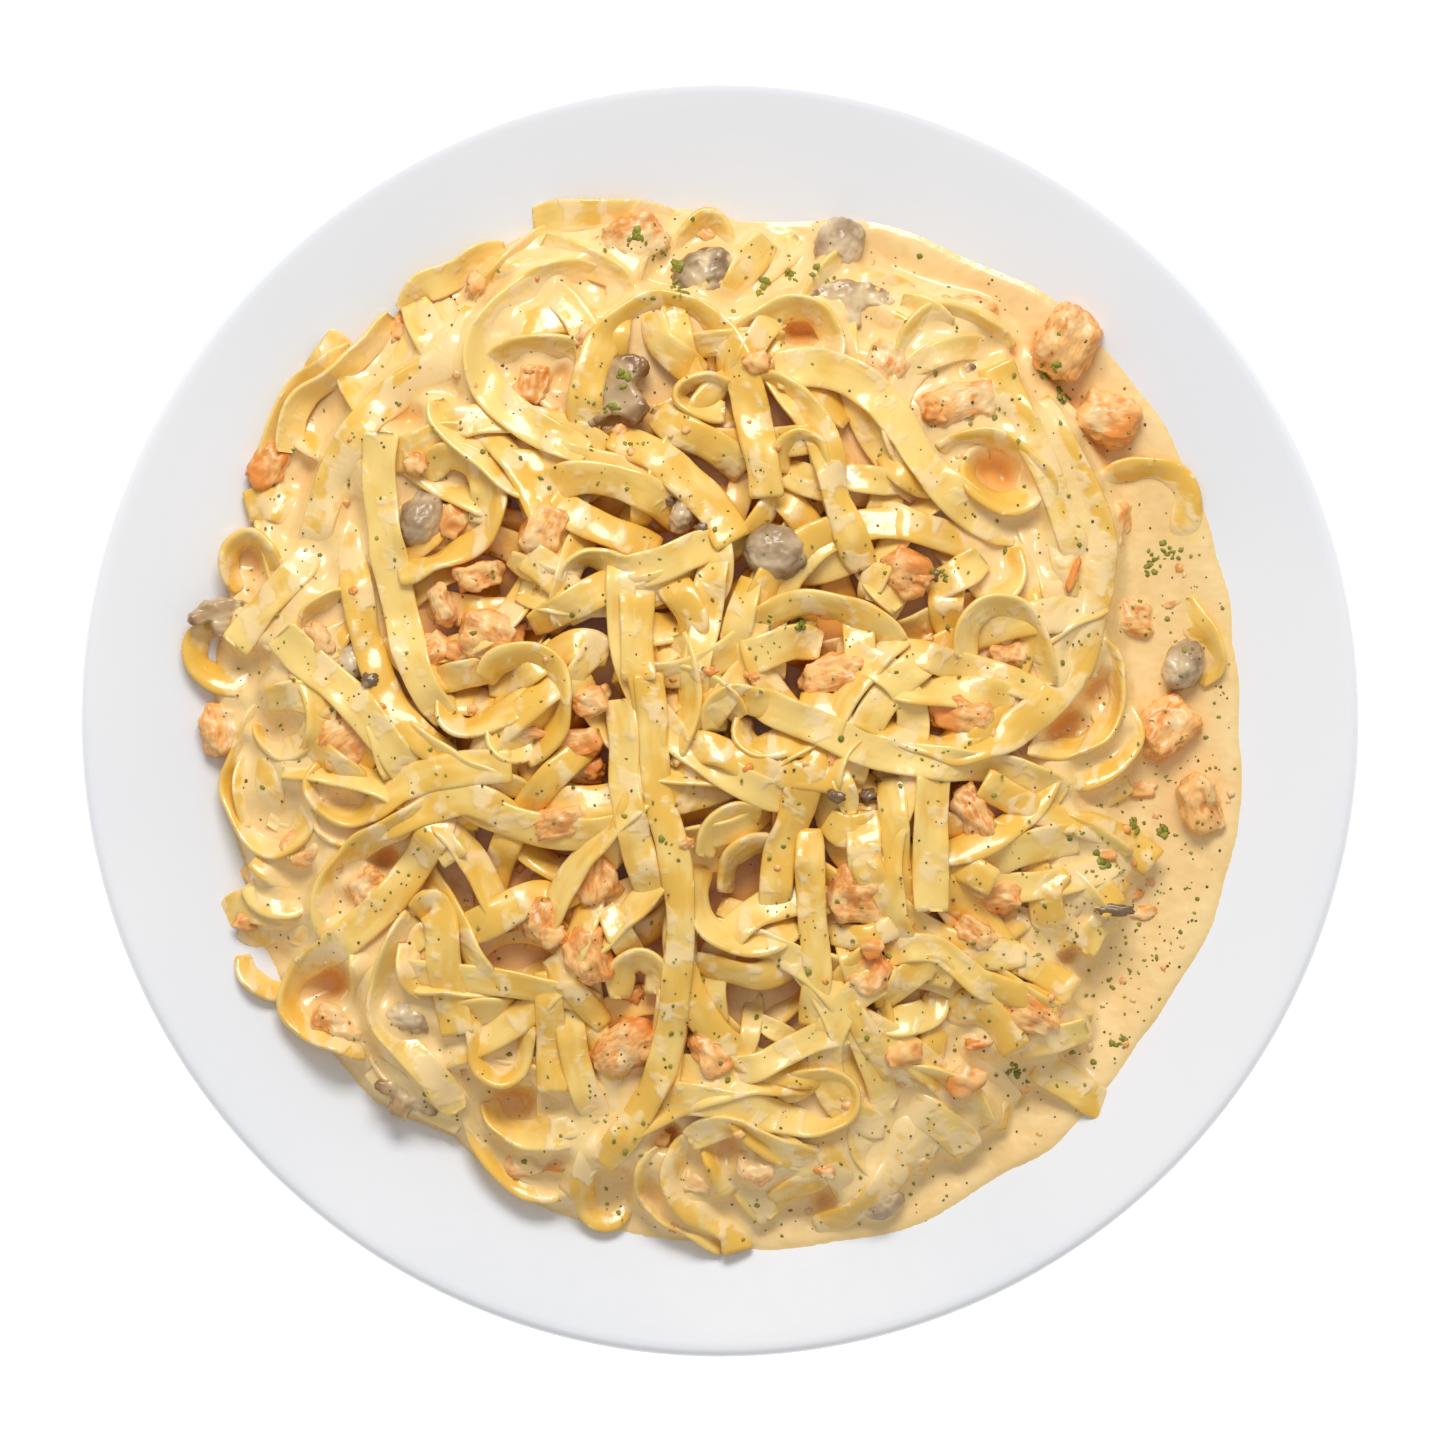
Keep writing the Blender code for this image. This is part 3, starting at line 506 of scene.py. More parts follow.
# Deep openings in the heap: (across, up, width, height, turn), millimetres and degrees.
OPENINGS = (
    (-58, 92, 3, 2, 0), (-81.5, 50, 3, 5, 0), (-70, 64, 8, 5, 0), (-59, 69, 5, 4, 0),
    (-71, 54, 5, 8, 0), (-18, 83, 5, 10, 0), (16, 84, 10, 4, 0), (20, 57, 4, 6, 0),
    (-5.5, 71, 4, 3, 0), (29, 59, 6, 10, 0), (31.5, 46, 5, 4, 0), (38, 46, 9, 2, 0),
    (-22, 42, 20, 2.5, -27), (52, 57.5, 5, 2, 0), (59, 52.5, 9, 8, 0), (63, 62, 4, 7, 0),
    (52.5, 83, 10, 3.5, 0), (74, 48, 3, 7, 0), (77, 31, 2, 8, 0), (-102, 35, 6, 5, 0),
    (-93, 23, 5, 4, 0), (-88, 26, 5, 4, 0), (-76.5, 10, 4, 8, 0), (-66, -8, 5, 2.5, 0),
    (-80, -17, 10, 5, 0), (-77, -33, 16, 10, 0), (-54, 6, 9, 5, 0), (-42, 6, 7, 6, 0),
    (-29, 17, 14, 6, 0), (-27, 31, 8, 6, 0), (-12, 20, 3, 3, 0), (-26, 9, 7, 9, 0),
    (-52, -26, 10, 6, 0), (25, 18, 10, 4, 0), (16, 9, 6, 4, 0), (9, -2, 9, 6, 0),
    (5, -33, 8, 10, 0), (3, -51.5, 9, 3, 0), (3, -58.5, 14, 4, 0), (32, -12, 6, 5, 0),
    (61, 16, 9, 8, 0), (76, -2, 9, 6, 0), (82, 8, 3, 8, 0), (53, -13, 5, 3, 0), (72, -31, 9, 5, 0),
    (41, -53, 7, 2.5, 0), (48, -83, 15, 3.5, -30), (21, -83, 11, 3, 0), (5, -93, 9, 4.5, 0),
    (-6, -98, 6, 7, 0), (-13, -101, 3, 7, 0), (-46, -84, 10, 6, 0), (-48, -73, 3, 7, 0),
    (-65, -56, 2, 6, 0), (-58, -84, 3, 5, 0), (-88, -58, 12, 6, 0), (-97, -54, 9, 5, 0),
    (-58, -35, 6, 4, 0), (-26, -86, 4, 4, 0), (33, -96, 4, 7, 0), (24, -106, 4, 3, 0),
    (-21, -34, 8, 6, 0),
)

# Small bits of chicken that lie loose: (across, up, length, width).
CRUMBS = (
    (8, 77, 6, 5), (24, -9, 6, 5), (53.5, -79, 8, 6), (39.5, -73, 8, 6), (-66, 55, 5, 5),
    (-58, 42.5, 6, 7), (-87, 17, 5, 8), (-57, 14, 6, 5), (99, 25, 4, 2), (93, -16, 7, 4),
    (45, 17, 3, 2), (77, 31, 2, 8), (93, -43, 7, 3), (94.5, -36, 2.5, 2), (84, -30, 5, 3),
    (-104, -45, 5, 4), (-53.5, 95, 4, 5), (-70, 85, 4, 7), (-29.5, 83.5, 3, 5), (-13, -92, 5, 4),
    (23, -99, 4, 3), (-42, -3, 8, 3), (-7, -27, 3, 2), (-2, 10, 3, 2), (7, 9, 3, 2),
    (-19, -60, 5, 4), (-3, 106, 5, 4), (56, -71, 6, 2.5), (-28, -11, 6, 5), (-36, -47, 6, 5),
    (-22, 62, 4, 3), (44, 30, 4, 3), (46.5, 66, 5, 4), (91, -39, 4, 2), (33, -50, 5, 4),
)
MUSHROOM_BITS = (
    (47, 31, 4, 3), (54, 76, 4, 2.5), (25, -17, 4, 2.5), (32, -17, 3.5, 3), (86, -42, 9, 2.5),
    (-11, 47, 3, 2), (-4, 41, 3, 2), (-76, 8, 4, 3),
)
# Clumps of chopped parsley: (across, up, how far across the clump is).
PARSLEY_CLUMPS = (
    (97, 36, 6), (94, 33, 3), (-18, 105, 3), (-9, 93, 3), (-9, 99, 2.5), (9, 95, 4), (15, 97, 3),
    (22, 97, 3), (97, -25, 3), (91, -23, 3), (84, -31, 3), (88, -71, 3), (64, -78, 3), (75, 70, 3),
    (72, 76, 3), (10, 22, 3), (17, 20, 3), (-21, 74, 3), (48, 31, 3), (-23, 67, 3),
)

# ---------------------------------------------------------------- height fields, in millimetres

GRID_SIDE = int(2 * GRID_REACH / GRID_CELL) + 1
AXIS = np.linspace(-GRID_REACH, GRID_REACH, GRID_SIDE)
GRID_X, GRID_Y = np.meshgrid(AXIS, AXIS)
GRID_RADIUS = np.hypot(GRID_X, GRID_Y)
GRID_ANGLE = np.arctan2(GRID_Y, GRID_X)


def sample(field, x, y):
    """Value of a field at these places, between its grid points."""
    u = np.clip((np.asarray(x, float) + GRID_REACH) / GRID_CELL, 0, GRID_SIDE - 1.001)
    v = np.clip((np.asarray(y, float) + GRID_REACH) / GRID_CELL, 0, GRID_SIDE - 1.001)
    i, j = v.astype(int), u.astype(int)
    s, t = u - j, v - i
    low = field[i, j] * (1 - s) + field[i, j + 1] * s
    high = field[i + 1, j] * (1 - s) + field[i + 1, j + 1] * s
    return low * (1 - t) + high * t


def cells(x, y):
    """Nearest grid point to each place, as row and column."""
    i = np.clip(np.rint((y + GRID_REACH) / GRID_CELL).astype(int), 0, GRID_SIDE - 1)
    j = np.clip(np.rint((x + GRID_REACH) / GRID_CELL).astype(int), 0, GRID_SIDE - 1)
    return i, j


def blur(field, sigma):
    """Average of a field over about sigma millimetres."""
    reach = int(2.6 * sigma / GRID_CELL) + 1
    weights = np.exp(-0.5 * (np.arange(-reach, reach + 1) * GRID_CELL / sigma) ** 2)
    weights /= weights.sum()
    tall = np.pad(field, ((reach, reach), (0, 0)), mode="edge")
    field = sum(w * tall[k : k + GRID_SIDE] for k, w in enumerate(weights))
    wide = np.pad(field, ((0, 0), (reach, reach)), mode="edge")
    return sum(w * wide[:, k : k + GRID_SIDE] for k, w in enumerate(weights))


def widen(field, radius):
    """Highest value within radius millimetres."""
    reach = int(round(radius / GRID_CELL))
    padded = np.pad(field, reach, mode="edge")
    made = field.copy()
    for i in range(-reach, reach + 1):
        for j in range(-reach, reach + 1):
            if i * i + j * j <= reach * reach:
                part = padded[reach + i : reach + i + GRID_SIDE, reach + j : reach + j + GRID_SIDE]
                np.maximum(made, part, out=made)
    return made


def close_gaps(field, radius):
    """The field with its openings narrower than twice the radius filled."""
    return -widen(-widen(field, radius), radius)


def ease(value):
    """0 to 1 with a soft start and a soft end."""
    value = np.clip(value, 0.0, 1.0)
    return value * value * (3 - 2 * value)


def cloud(x, y, size, seed):
    """Smooth seeded variation, mostly from -1 to 1, in patches about size millimetres across."""
    pick = np.random.default_rng(seed)
    total = np.zeros(np.shape(x))
    waves, usual = 14, 3.4
    for _ in range(waves):
        heading = pick.uniform(0, math.tau)
        wave = pick.uniform(0.6, 1.7) * math.pi / size
        shift = pick.uniform(0, math.tau)
        total += np.sin(wave * (x * math.cos(heading) + y * math.sin(heading)) + shift)
    return total / usual


# ---------------------------------------------------------------- the frame's own surfaces


def frame_tree(names):
    """Search tree of these nodes, in millimetres."""
    points, faces = [], []
    for name in names:
        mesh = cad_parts[name].data
        start = len(points)
        points += [v.co / MM for v in mesh.vertices]
        faces += [[start + i for i in face.vertices] for face in mesh.polygons]
    return BVHTree.FromPolygons(points, faces)


def seen_from_above(tree, step=1.5):
    """Height of the highest surface over each grid point, 0 where there is none."""
    axis = np.arange(-GRID_REACH, GRID_REACH + step, step)
    down = Vector((0, 0, -1))
    heights = np.zeros((len(axis), len(axis)))
    for i, y in enumerate(axis):
        for j, x in enumerate(axis):
            hit = tree.ray_cast(Vector((x, y, RAY_HEIGHT)), down)[0]
            heights[i, j] = hit.z if hit else 0.0
    wide = np.array([np.interp(AXIS, axis, row) for row in heights])
    return np.array([np.interp(AXIS, axis, column) for column in wide.T]).T


def edge_of(node):
    """Outermost radius of a node in each direction, as (angles, radii)."""
    points = np.array([v.co[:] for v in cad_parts[node].data.vertices]) / MM
    angles = np.arctan2(points[:, 1], points[:, 0])
    radii = np.hypot(points[:, 0], points[:, 1])
    bins = np.linspace(-math.pi, math.pi, EDGE_SECTORS + 1)
    middles, reach = [], []
    for low, high in zip(bins, bins[1:]):
        inside = (angles >= low - EDGE_OVERLAP) & (angles <= high + EDGE_OVERLAP)
        if inside.any():
            best = np.argmax(np.where(inside, radii, 0))
            middles.append((low + high) / 2)
            reach.append(radii[best])
    return np.array(middles), np.array(reach)


plate_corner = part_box("plate")[1] / MM
PLATE_RADIUS = plate_corner.x
PLATE_HEIGHT = plate_corner.z
WELL_FLOOR = (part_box("sauce")[0] / MM).z
RIM_SLOPE = (PLATE_HEIGHT - SHOULDER_HEIGHT) / (PLATE_RADIUS - SHOULDER_RADIUS)


def plate_top(radius):
    """Height of the plate's upper face."""
    radius = np.asarray(radius, float)
    span = SHOULDER_RADIUS - WELL_RADIUS
    t = np.clip((radius - WELL_RADIUS) / span, 0, 1)
    curve = (SHOULDER_HEIGHT - WELL_FLOOR) * t * t * (3 - 2 * t) + RIM_SLOPE * span * t * t * (t - 1)
    return WELL_FLOOR + curve + np.maximum(radius - SHOULDER_RADIUS, 0) * RIM_SLOPE


PLATE_FIELD = plate_top(GRID_RADIUS)
sauce_angles, sauce_radii = edge_of("sauce")
heap_angles, heap_radii = edge_of("noodles")
SAUCE_REACH = (
    np.interp(GRID_ANGLE, sauce_angles, sauce_radii, period=math.tau)
    + 0.5 * cloud(GRID_X, GRID_Y, 14.0, 3)
    - GRID_RADIUS
)
HEAP_REACH = np.interp(GRID_ANGLE, heap_angles, heap_radii, period=math.tau) - GRID_RADIUS


def pool_field():
    """Top of the sauce where nothing stands in it, sinking under the plate outside its edge."""
    inside = np.clip(SAUCE_REACH / SAUCE_ROUNDING, 0, 1)
    film = PLATE_FIELD + SAUCE_FILM * np.sqrt(1 - (1 - inside) ** 2)
    under = PLATE_FIELD - 0.35 * np.clip(-SAUCE_REACH, 0, 1.2)
    return np.where(SAUCE_REACH > 0, np.maximum(film, SAUCE_LEVEL), under)


def heap_field():
    """The rounded top of the whole heap, which the ribbons are kept near."""
    everything = seen_from_above(frame_tree(sorted(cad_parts)))
    return blur(np.maximum(everything, PLATE_FIELD), HEAP_BLUR)


def opening_field():
    """How deep each deep opening is at each place, from 0 to 1."""
    depth = np.zeros_like(GRID_X)
    for x, y, width, height, turn in OPENINGS:
        a = math.radians(turn)
        u = (GRID_X - x) * math.cos(a) + (GRID_Y - y) * math.sin(a)
        v = -(GRID_X - x) * math.sin(a) + (GRID_Y - y) * math.cos(a)
        off = (u / (width / 2 + HOLE_MARGIN)) ** 2 + (v / (height / 2 + HOLE_MARGIN)) ** 2
        depth = np.maximum(depth, ease(1.6 - off))
    return depth


POOL = pool_field()
HEAP_TOP = heap_field()
OPENING = opening_field()

# ---------------------------------------------------------------- ribbons


def smooth_row(row, sigma, step):
    """Average along a ribbon over about sigma millimetres."""
    reach = min(int(2.5 * sigma / step) + 1, len(row) - 1)
    weights = np.exp(-0.5 * (np.arange(-reach, reach + 1) * step / sigma) ** 2)
    padded = np.pad(row, reach, mode="edge")
    return np.convolve(padded, weights / weights.sum(), mode="valid")


def bridge_row(row, reach, step):
    """Height that a stiff ribbon keeps over dips shorter than twice the reach."""
    count = max(1, min(int(reach / step), len(row) - 1))
    window = np.lib.stride_tricks.sliding_window_view
    high = window(np.pad(row, count, mode="edge"), 2 * count + 1).max(axis=1)
    return window(np.pad(high, count, mode="edge"), 2 * count + 1).min(axis=1)


def even_path(points, step):
    """A smooth line through (across, up, lean) points, in even steps."""
    p = np.array(points, float)
    ends = np.vstack([2 * p[0] - p[1], p, 2 * p[-1] - p[-2]])
    t = np.linspace(0, 1, 12, endpoint=False)[:, None]
    parts = [
        0.5 * (2 * b + (c - a) * t + (2 * a - 5 * b + 4 * c - d) * t**2 + (3 * b - a - 3 * c + d) * t**3)
        for a, b, c, d in zip(ends, ends[1:], ends[2:], ends[3:])
    ]
    line = np.vstack([*parts, p[-1:]])
    along = np.concatenate([[0], np.cumsum(np.hypot(*np.diff(line[:, :2], axis=0).T))])
    count = max(int(round(along[-1] / step)) + 1, 5)
    at = np.linspace(0, along[-1], count)
    return np.column_stack([np.interp(at, along, line[:, k]) for k in range(3)])


def soft_limit(value, limit):
    """The value, levelling off under the limit. A value below 0 stays as it is."""
    return np.where(value > 0, limit * (1 - np.exp(-np.maximum(value, 0) / limit)), value)


class Ribbon:
    """One ribbon lying on what is already in the heap."""

    def __init__(self, ground, points, width, step, tone):
        self.width, self.tone, self.step = width, tone, step
        self.buried = [tuple(points[k][:2]) not in CUT_ENDS for k in (0, -1)]
        x, y, lean = even_path(points, step).T
        self.x, self.y = x, y
        dx, dy = np.gradient(x), np.gradient(y)
        size = np.hypot(dx, dy) + 1e-9
        self.left_x, self.left_y = -dy / size, dx / size
        side = 0.4 * width
        left = sample(ground, x + self.left_x * side, y + self.left_y * side)
        right = sample(ground, x - self.left_x * side, y - self.left_y * side)
        slope = np.degrees(np.arctan2(left - right, 2 * side))
        slope = smooth_row(np.clip(slope, -MOST_SLOPE, MOST_SLOPE), SLOPE_RUN, step)
        flat = np.clip(1 - np.abs(lean) / FREE_LEAN, 0, 1)
        self.tilt = np.radians(lean + slope * flat * SLOPE_SHARE)
        self.height = self.settle(ground)

    def settle(self, ground):
        """Height of the middle line: it rests on the ground, spans dips and sinks at buried ends."""
        reach = np.linspace(-0.5, 0.5, 9) * self.width
        across = np.cos(self.tilt)[:, None] * reach
        place_x = self.x[:, None] + self.left_x[:, None] * across
        place_y = self.y[:, None] + self.left_y[:, None] * across
        need = sample(ground, place_x, place_y) - np.sin(self.tilt)[:, None] * reach
        lift = need.max(axis=1) + RIBBON_THICK / 2 * np.cos(self.tilt)
        base = sample(HEAP_TOP, self.x, self.y) - 0.42 * self.width * np.abs(np.sin(self.tilt))
        lift = base + soft_limit(lift - base, STAND_LIMIT)
        height = smooth_row(bridge_row(lift, BRIDGE_REACH, self.step), BEND_RUN, self.step)
        for _ in range(2):
            pressed = np.maximum(lift - PRESS_DEPTH - height, 0)
            height += 1.25 * smooth_row(pressed, PRESS_RUN, self.step)
        run = np.arange(len(height)) * self.step
        upright = np.abs(np.sin(self.tilt))
        for from_end, buried in zip((run, run[::-1]), self.buried):
            if buried:
                height = height - END_SINK * (1 - ease(from_end / END_RUN)) * (1 - 0.5 * upright)
        return height

    def stamp(self, ground):
        """Raises the ground to this ribbon's upper face."""
        fine = np.arange(0, len(self.x) - 1 + 1e-6, STAMP_STEP / self.step)
        at = np.arange(len(self.x))
        x, y, nx, ny, tilt, height = (
            np.interp(fine, at, row)[:, None]
            for row in (self.x, self.y, self.left_x, self.left_y, self.tilt, self.height)
        )
        reach = np.arange(-0.5, 0.5001, STAMP_STEP / self.width) * self.width
        place_x = x + nx * reach * np.cos(tilt)
        place_y = y + ny * reach * np.cos(tilt)
        top = height + reach * np.sin(tilt) + RIBBON_THICK / 2 * np.cos(tilt)
        np.maximum.at(ground, cells(place_x, place_y), top)

    def mesh(self):
        """Points, quads, end triangles and the share of the width and the run of each point."""
        outline = np.array(RIBBON_OUTLINE)
        count, around = len(self.x), len(outline)
        run = np.arange(count) * self.step
        wobble = 1 + RIBBON_WOBBLE * cloud(run, run * 0 + self.tone * 900, 14.0, 5)
        ripple = RIBBON_RIPPLE * cloud(run, run * 0 + self.tone * 500, 7.0, 8)
        narrow = np.ones(count)
        for from_end, buried in zip((run, run[::-1]), self.buried):
            narrow *= 0.8 + 0.2 * ease((from_end + 0.8) / 5.0) if buried else 1.0
        narrow[[0, -1]] *= 0.93
        half = (self.width / 2 * wobble * narrow)[:, None]
        a = outline[None, :, 0] * half
        at_end = np.arange(count) % (count - 1) == 0
        thick = RIBBON_THICK * np.where(at_end, END_THICK, 1.0)[:, None]
        cup = RIBBON_CUP * (2 * self.tone - 0.6) * outline[None, :, 0] ** 2
        b = outline[None, :, 1] * thick / 2 + cup + ripple[:, None] * outline[None, :, 0]
        sin, cos = np.sin(self.tilt)[:, None], np.cos(self.tilt)[:, None]
        x = self.x[:, None] + self.left_x[:, None] * (a * cos - b * sin)
        y = self.y[:, None] + self.left_y[:, None] * (a * cos - b * sin)
        z = self.height[:, None] + a * sin + b * cos
        points = np.stack([x, y, z], axis=-1).reshape(-1, 3)
        ring = np.arange(around)
        rows = np.arange(count - 1)[:, None] * around
        after = (ring + 1) % around
        quads = np.stack(
            [rows + ring, rows + ring + around, rows + after + around, rows + after], axis=-1
        )
        fan = np.stack([np.zeros(around - 2, int), ring[1:-1], ring[2:]], axis=-1)
        ends = np.vstack([fan, fan[:, ::-1] + (count - 1) * around])
        across = np.broadcast_to(outline[None, :, 0], (count, around)).ravel()
        along = np.repeat(run, around)
        return points, quads.reshape(-1, 4), ends, across, along


def fill_paths():
    """Seeded wandering ribbons that make up the inside of the heap, kept out of the deepest openings."""
    pick = random.Random(21)
    blurred_opening = blur(OPENING, 1.2)
    made = []
    for _ in range(FILL_RIBBONS):
        angle = pick.uniform(-math.pi, math.pi)
        edge = np.interp(angle, heap_angles, heap_radii, period=math.tau)
        reach = edge * math.sqrt(pick.random()) * FILL_REACH
        x, y = reach * math.cos(angle), reach * math.sin(angle)
        heading = pick.uniform(0, math.tau)
        bend = pick.choice((-1, 1)) / pick.uniform(*FILL_BEND)
        lean = pick.choice(FILL_LEANS) + pick.uniform(-8, 8)
        width = pick.uniform(*FILL_WIDTH)
        runs = [[]]
        for _ in range(int(pick.uniform(*FILL_LENGTH) / FILL_STRIDE)):
            heading += FILL_STRIDE * bend
            bend += pick.uniform(-FILL_DRIFT, FILL_DRIFT)
            x, y = x + FILL_STRIDE * math.cos(heading), y + FILL_STRIDE * math.sin(heading)
            in_heap = sample(HEAP_REACH, x, y) > FILL_MARGIN
            if in_heap and sample(blurred_opening, x, y) < FILL_OPENING:
                runs[-1].append((x, y, lean))
            elif runs[-1]:
                runs.append([])
        made += [(width, *run) for run in runs if len(run) >= FEWEST_POINTS]
    return made


# ---------------------------------------------------------------- pieces of chicken and mushroom


def refine(bm):
    """Cuts every edge in three and leaves triangles."""
    bmesh.ops.subdivide_edges(bm, edges=bm.edges, cuts=2, use_grid_fill=True)
    bmesh.ops.triangulate(bm, faces=bm.faces)


class Chunk:
    """A piece grown from its node: rounded, broken up and fibrous."""

    def __init__(self, name, rounding, rough, fibre, swell, stand):
        self.name, self.stand = name, stand
        pick = random.Random(name)
        shift = Vector((pick.uniform(0, 90), pick.uniform(0, 90), pick.uniform(0, 90)))
        bm = bmesh.new()
        bm.from_mesh(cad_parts[name].data)
        bmesh.ops.scale(bm, vec=(1 / MM,) * 3, verts=bm.verts)
        bmesh.ops.remove_doubles(bm, verts=bm.verts, dist=0.01)
        bmesh.ops.triangulate(bm, faces=bm.faces)
        centre = sum((v.co for v in bm.verts), Vector()) / len(bm.verts)
        points = np.array([v.co[:] for v in bm.verts]) - centre
        axes = np.linalg.eigh(points.T @ points)[1]
        refine(bm)
        for _ in range(rounding):
            bmesh.ops.smooth_vert(
                bm, verts=bm.verts, factor=0.5, use_axis_x=True, use_axis_y=True, use_axis_z=True
            )
        for v in bm.verts:
            v.co = centre + (v.co - centre) * swell
        refine(bm)
        bm.normal_update()
        self.roughen(bm, centre, axes, shift, rough, fibre)
        bm.normal_update()
        self.points = np.array([v.co[:] for v in bm.verts])
        bm.verts.index_update()
        self.faces = np.array([[v.index for v in face.verts] for face in bm.faces])
        local = self.points - np.array(centre)
        self.share = np.column_stack([local @ axes[:, 2], local @ axes[:, 1], local @ axes[:, 0]])
        self.tree = BVHTree.FromBMesh(bm)
        bm.free()
        self.lift = 0.0
        self.find_top()

    @staticmethod
    def roughen(bm, centre, axes, shift, rough, fibre):
        """Pushes the surface in and out: lumps, grain, fibres along the piece and broken hollows."""
        long, flat = Vector(axes[:, 2]), Vector(axes[:, 1])
        thin = long.cross(flat)
        lengthwise, across = CHUNK_FIBRE
        moves = []
        for v in bm.verts:
            away = v.co - centre
            side, up = away.dot(flat) / across, away.dot(thin) / across
            stretched = Vector((away.dot(long) / lengthwise, side, up))
            push = rough * noise.noise(away / CHUNK_LUMP + shift)
            push += 0.45 * rough * noise.noise(away / CHUNK_GRAIN + shift)
            push += fibre * noise.noise(stretched + shift)
            hollow = noise.noise(away / CHUNK_BREAK - shift)
            push -= rough * 0.9 * max(0.0, abs(hollow) - 0.22)
            moves.append(v.normal * push)
        for v, move in zip(bm.verts, moves):
            v.co += move

    def find_top(self):
        """Grid points under the piece, and its height there."""
        low, high = self.points.min(axis=0), self.points.max(axis=0)
        (i0, i1), (j0, j1) = cells(np.array([low[0], high[0]]), np.array([low[1], high[1]]))
        down = Vector((0, 0, -1))
        rows, columns, heights = [], [], []
        for i in range(i0, i1 + 1):
            for j in range(j0, j1 + 1):
                hit = self.tree.ray_cast(Vector((AXIS[j], AXIS[i], RAY_HEIGHT)), down)[0]
                if hit:
                    rows.append(i)
                    columns.append(j)
                    heights.append(hit.z)
        self.cells = (np.array(rows), np.array(columns))
        self.tops = np.array(heights)
        top = np.percentile(self.tops, CHUNK_TOP)
        self.rise = top - np.median(HEAP_TOP[self.cells])

    def settle(self, ground):
        """Lifts the piece until it stands out of the ribbons under it, and raises the ground to it."""
        wanted = np.percentile(ground[self.cells], 60) + max(0.5 * self.rise, self.stand)
        self.lift = float(np.clip(wanted - np.percentile(self.tops, CHUNK_TOP), *CHUNK_LIFT))
        ground[self.cells] = np.maximum(ground[self.cells], self.tops + self.lift)


def grow_chunks():
    """Every chunk of the frame, in a list for each kind."""
    made = {kind: [] for kind in CHUNK_KINDS}
    for name in sorted(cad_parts):
        kind = name.rpartition("_")[0]
        if kind in made:
            made[kind].append(Chunk(name, *CHUNK_KINDS[kind]))
    return made


# ---------------------------------------------------------------- the heap


def build_heap(ground, chunks):
    """Lays everything in order on the ground and returns the three layers of ribbons."""
    pick = random.Random(5)
    layers = []
    for paths, step in (
        (fill_paths(), FILL_STEP), (UNDER_RIBBONS, RIBBON_STEP), (OVER_RIBBONS, RIBBON_STEP),
    ):
        layer = []
        for path in paths:
            ribbon = Ribbon(ground, path[1:], path[0], step, pick.random())
            ribbon.stamp(ground)
            layer.append(ribbon)
        layers.append(layer)
        if paths is UNDER_RIBBONS:
            for kind in sorted(chunks):
                for chunk in chunks[kind]:
                    chunk.settle(ground)
    return layers


def base_ground(sunk):
    """What the first ribbons lie on."""
    inner = np.where(HEAP_REACH > 0, HEAP_TOP - HEAP_DEPTH - sunk, 0.0) - HOLE_DEPTH * OPENING
    floor = np.where(SAUCE_REACH > 0.5, POOL - SAUCE_SINK, PLATE_FIELD)
    floor = np.where(HEAP_REACH > 6, PLATE_FIELD + 0.5, floor)
    return np.maximum(inner, floor)


chunks = grow_chunks()
# A first heap, built only to see how far it stands too high or too low.
trial = base_ground(0.0)
build_heap(trial, chunks)
excess = np.clip(blur(trial - HEAP_TOP, 7.0) + 0.4, *HEAP_SINK)
CORE = base_ground(excess)
TOP = CORE.copy()
layers = build_heap(TOP, chunks)

# ---------------------------------------------------------------- sauce

BRIDGED = close_gaps(TOP, 2.0)
SMOOTH_TOP = blur(TOP, 5.0)


def sauce_field():
    """Top of the sauce: between the ribbons, in a pool round them and smeared over some of them."""
    low = np.minimum(blur(BRIDGED, 0.9) - FILM_DROP, SMOOTH_TOP + FILM_RISE)
    low = np.maximum(low, CORE + CORE_COVER)
    low = np.maximum(low, blur(TOP, 4.0) - GAP_DEPTH - OPENING_DEPTH * blur(OPENING, 0.6))
    patches = ease((cloud(GRID_X, GRID_Y, SMEAR_PATCH, 17) - 0.08) / 0.6)
    smear = SMEAR_SHARE * patches * (1 - ease(OPENING * 3))
    smear = smear * ease((HEAP_REACH - 3) / 8)
    over = blur(close_gaps(TOP, 1.5), 0.7) + SMEAR_RISE
    film = low + (over - low) * smear * np.where(HEAP_REACH > 4, 1, 0)
    film = np.where(HEAP_REACH > -2, film, 0)
    film = np.minimum(film, HEAP_TOP + 4)
    film = np.where(SAUCE_REACH > 0, np.maximum(film, POOL), POOL)
    film = np.minimum(film, POOL + EDGE_RISE * np.clip(SAUCE_REACH / EDGE_RUN, 0, 1))
    made = blur(film, FILM_BLUR)
    return np.where(SAUCE_REACH > 0.4, made, np.where(SAUCE_REACH > 0, film, POOL))


FILM = sauce_field()
SURFACE = np.maximum(TOP, FILM)

# ---------------------------------------------------------------- meshes


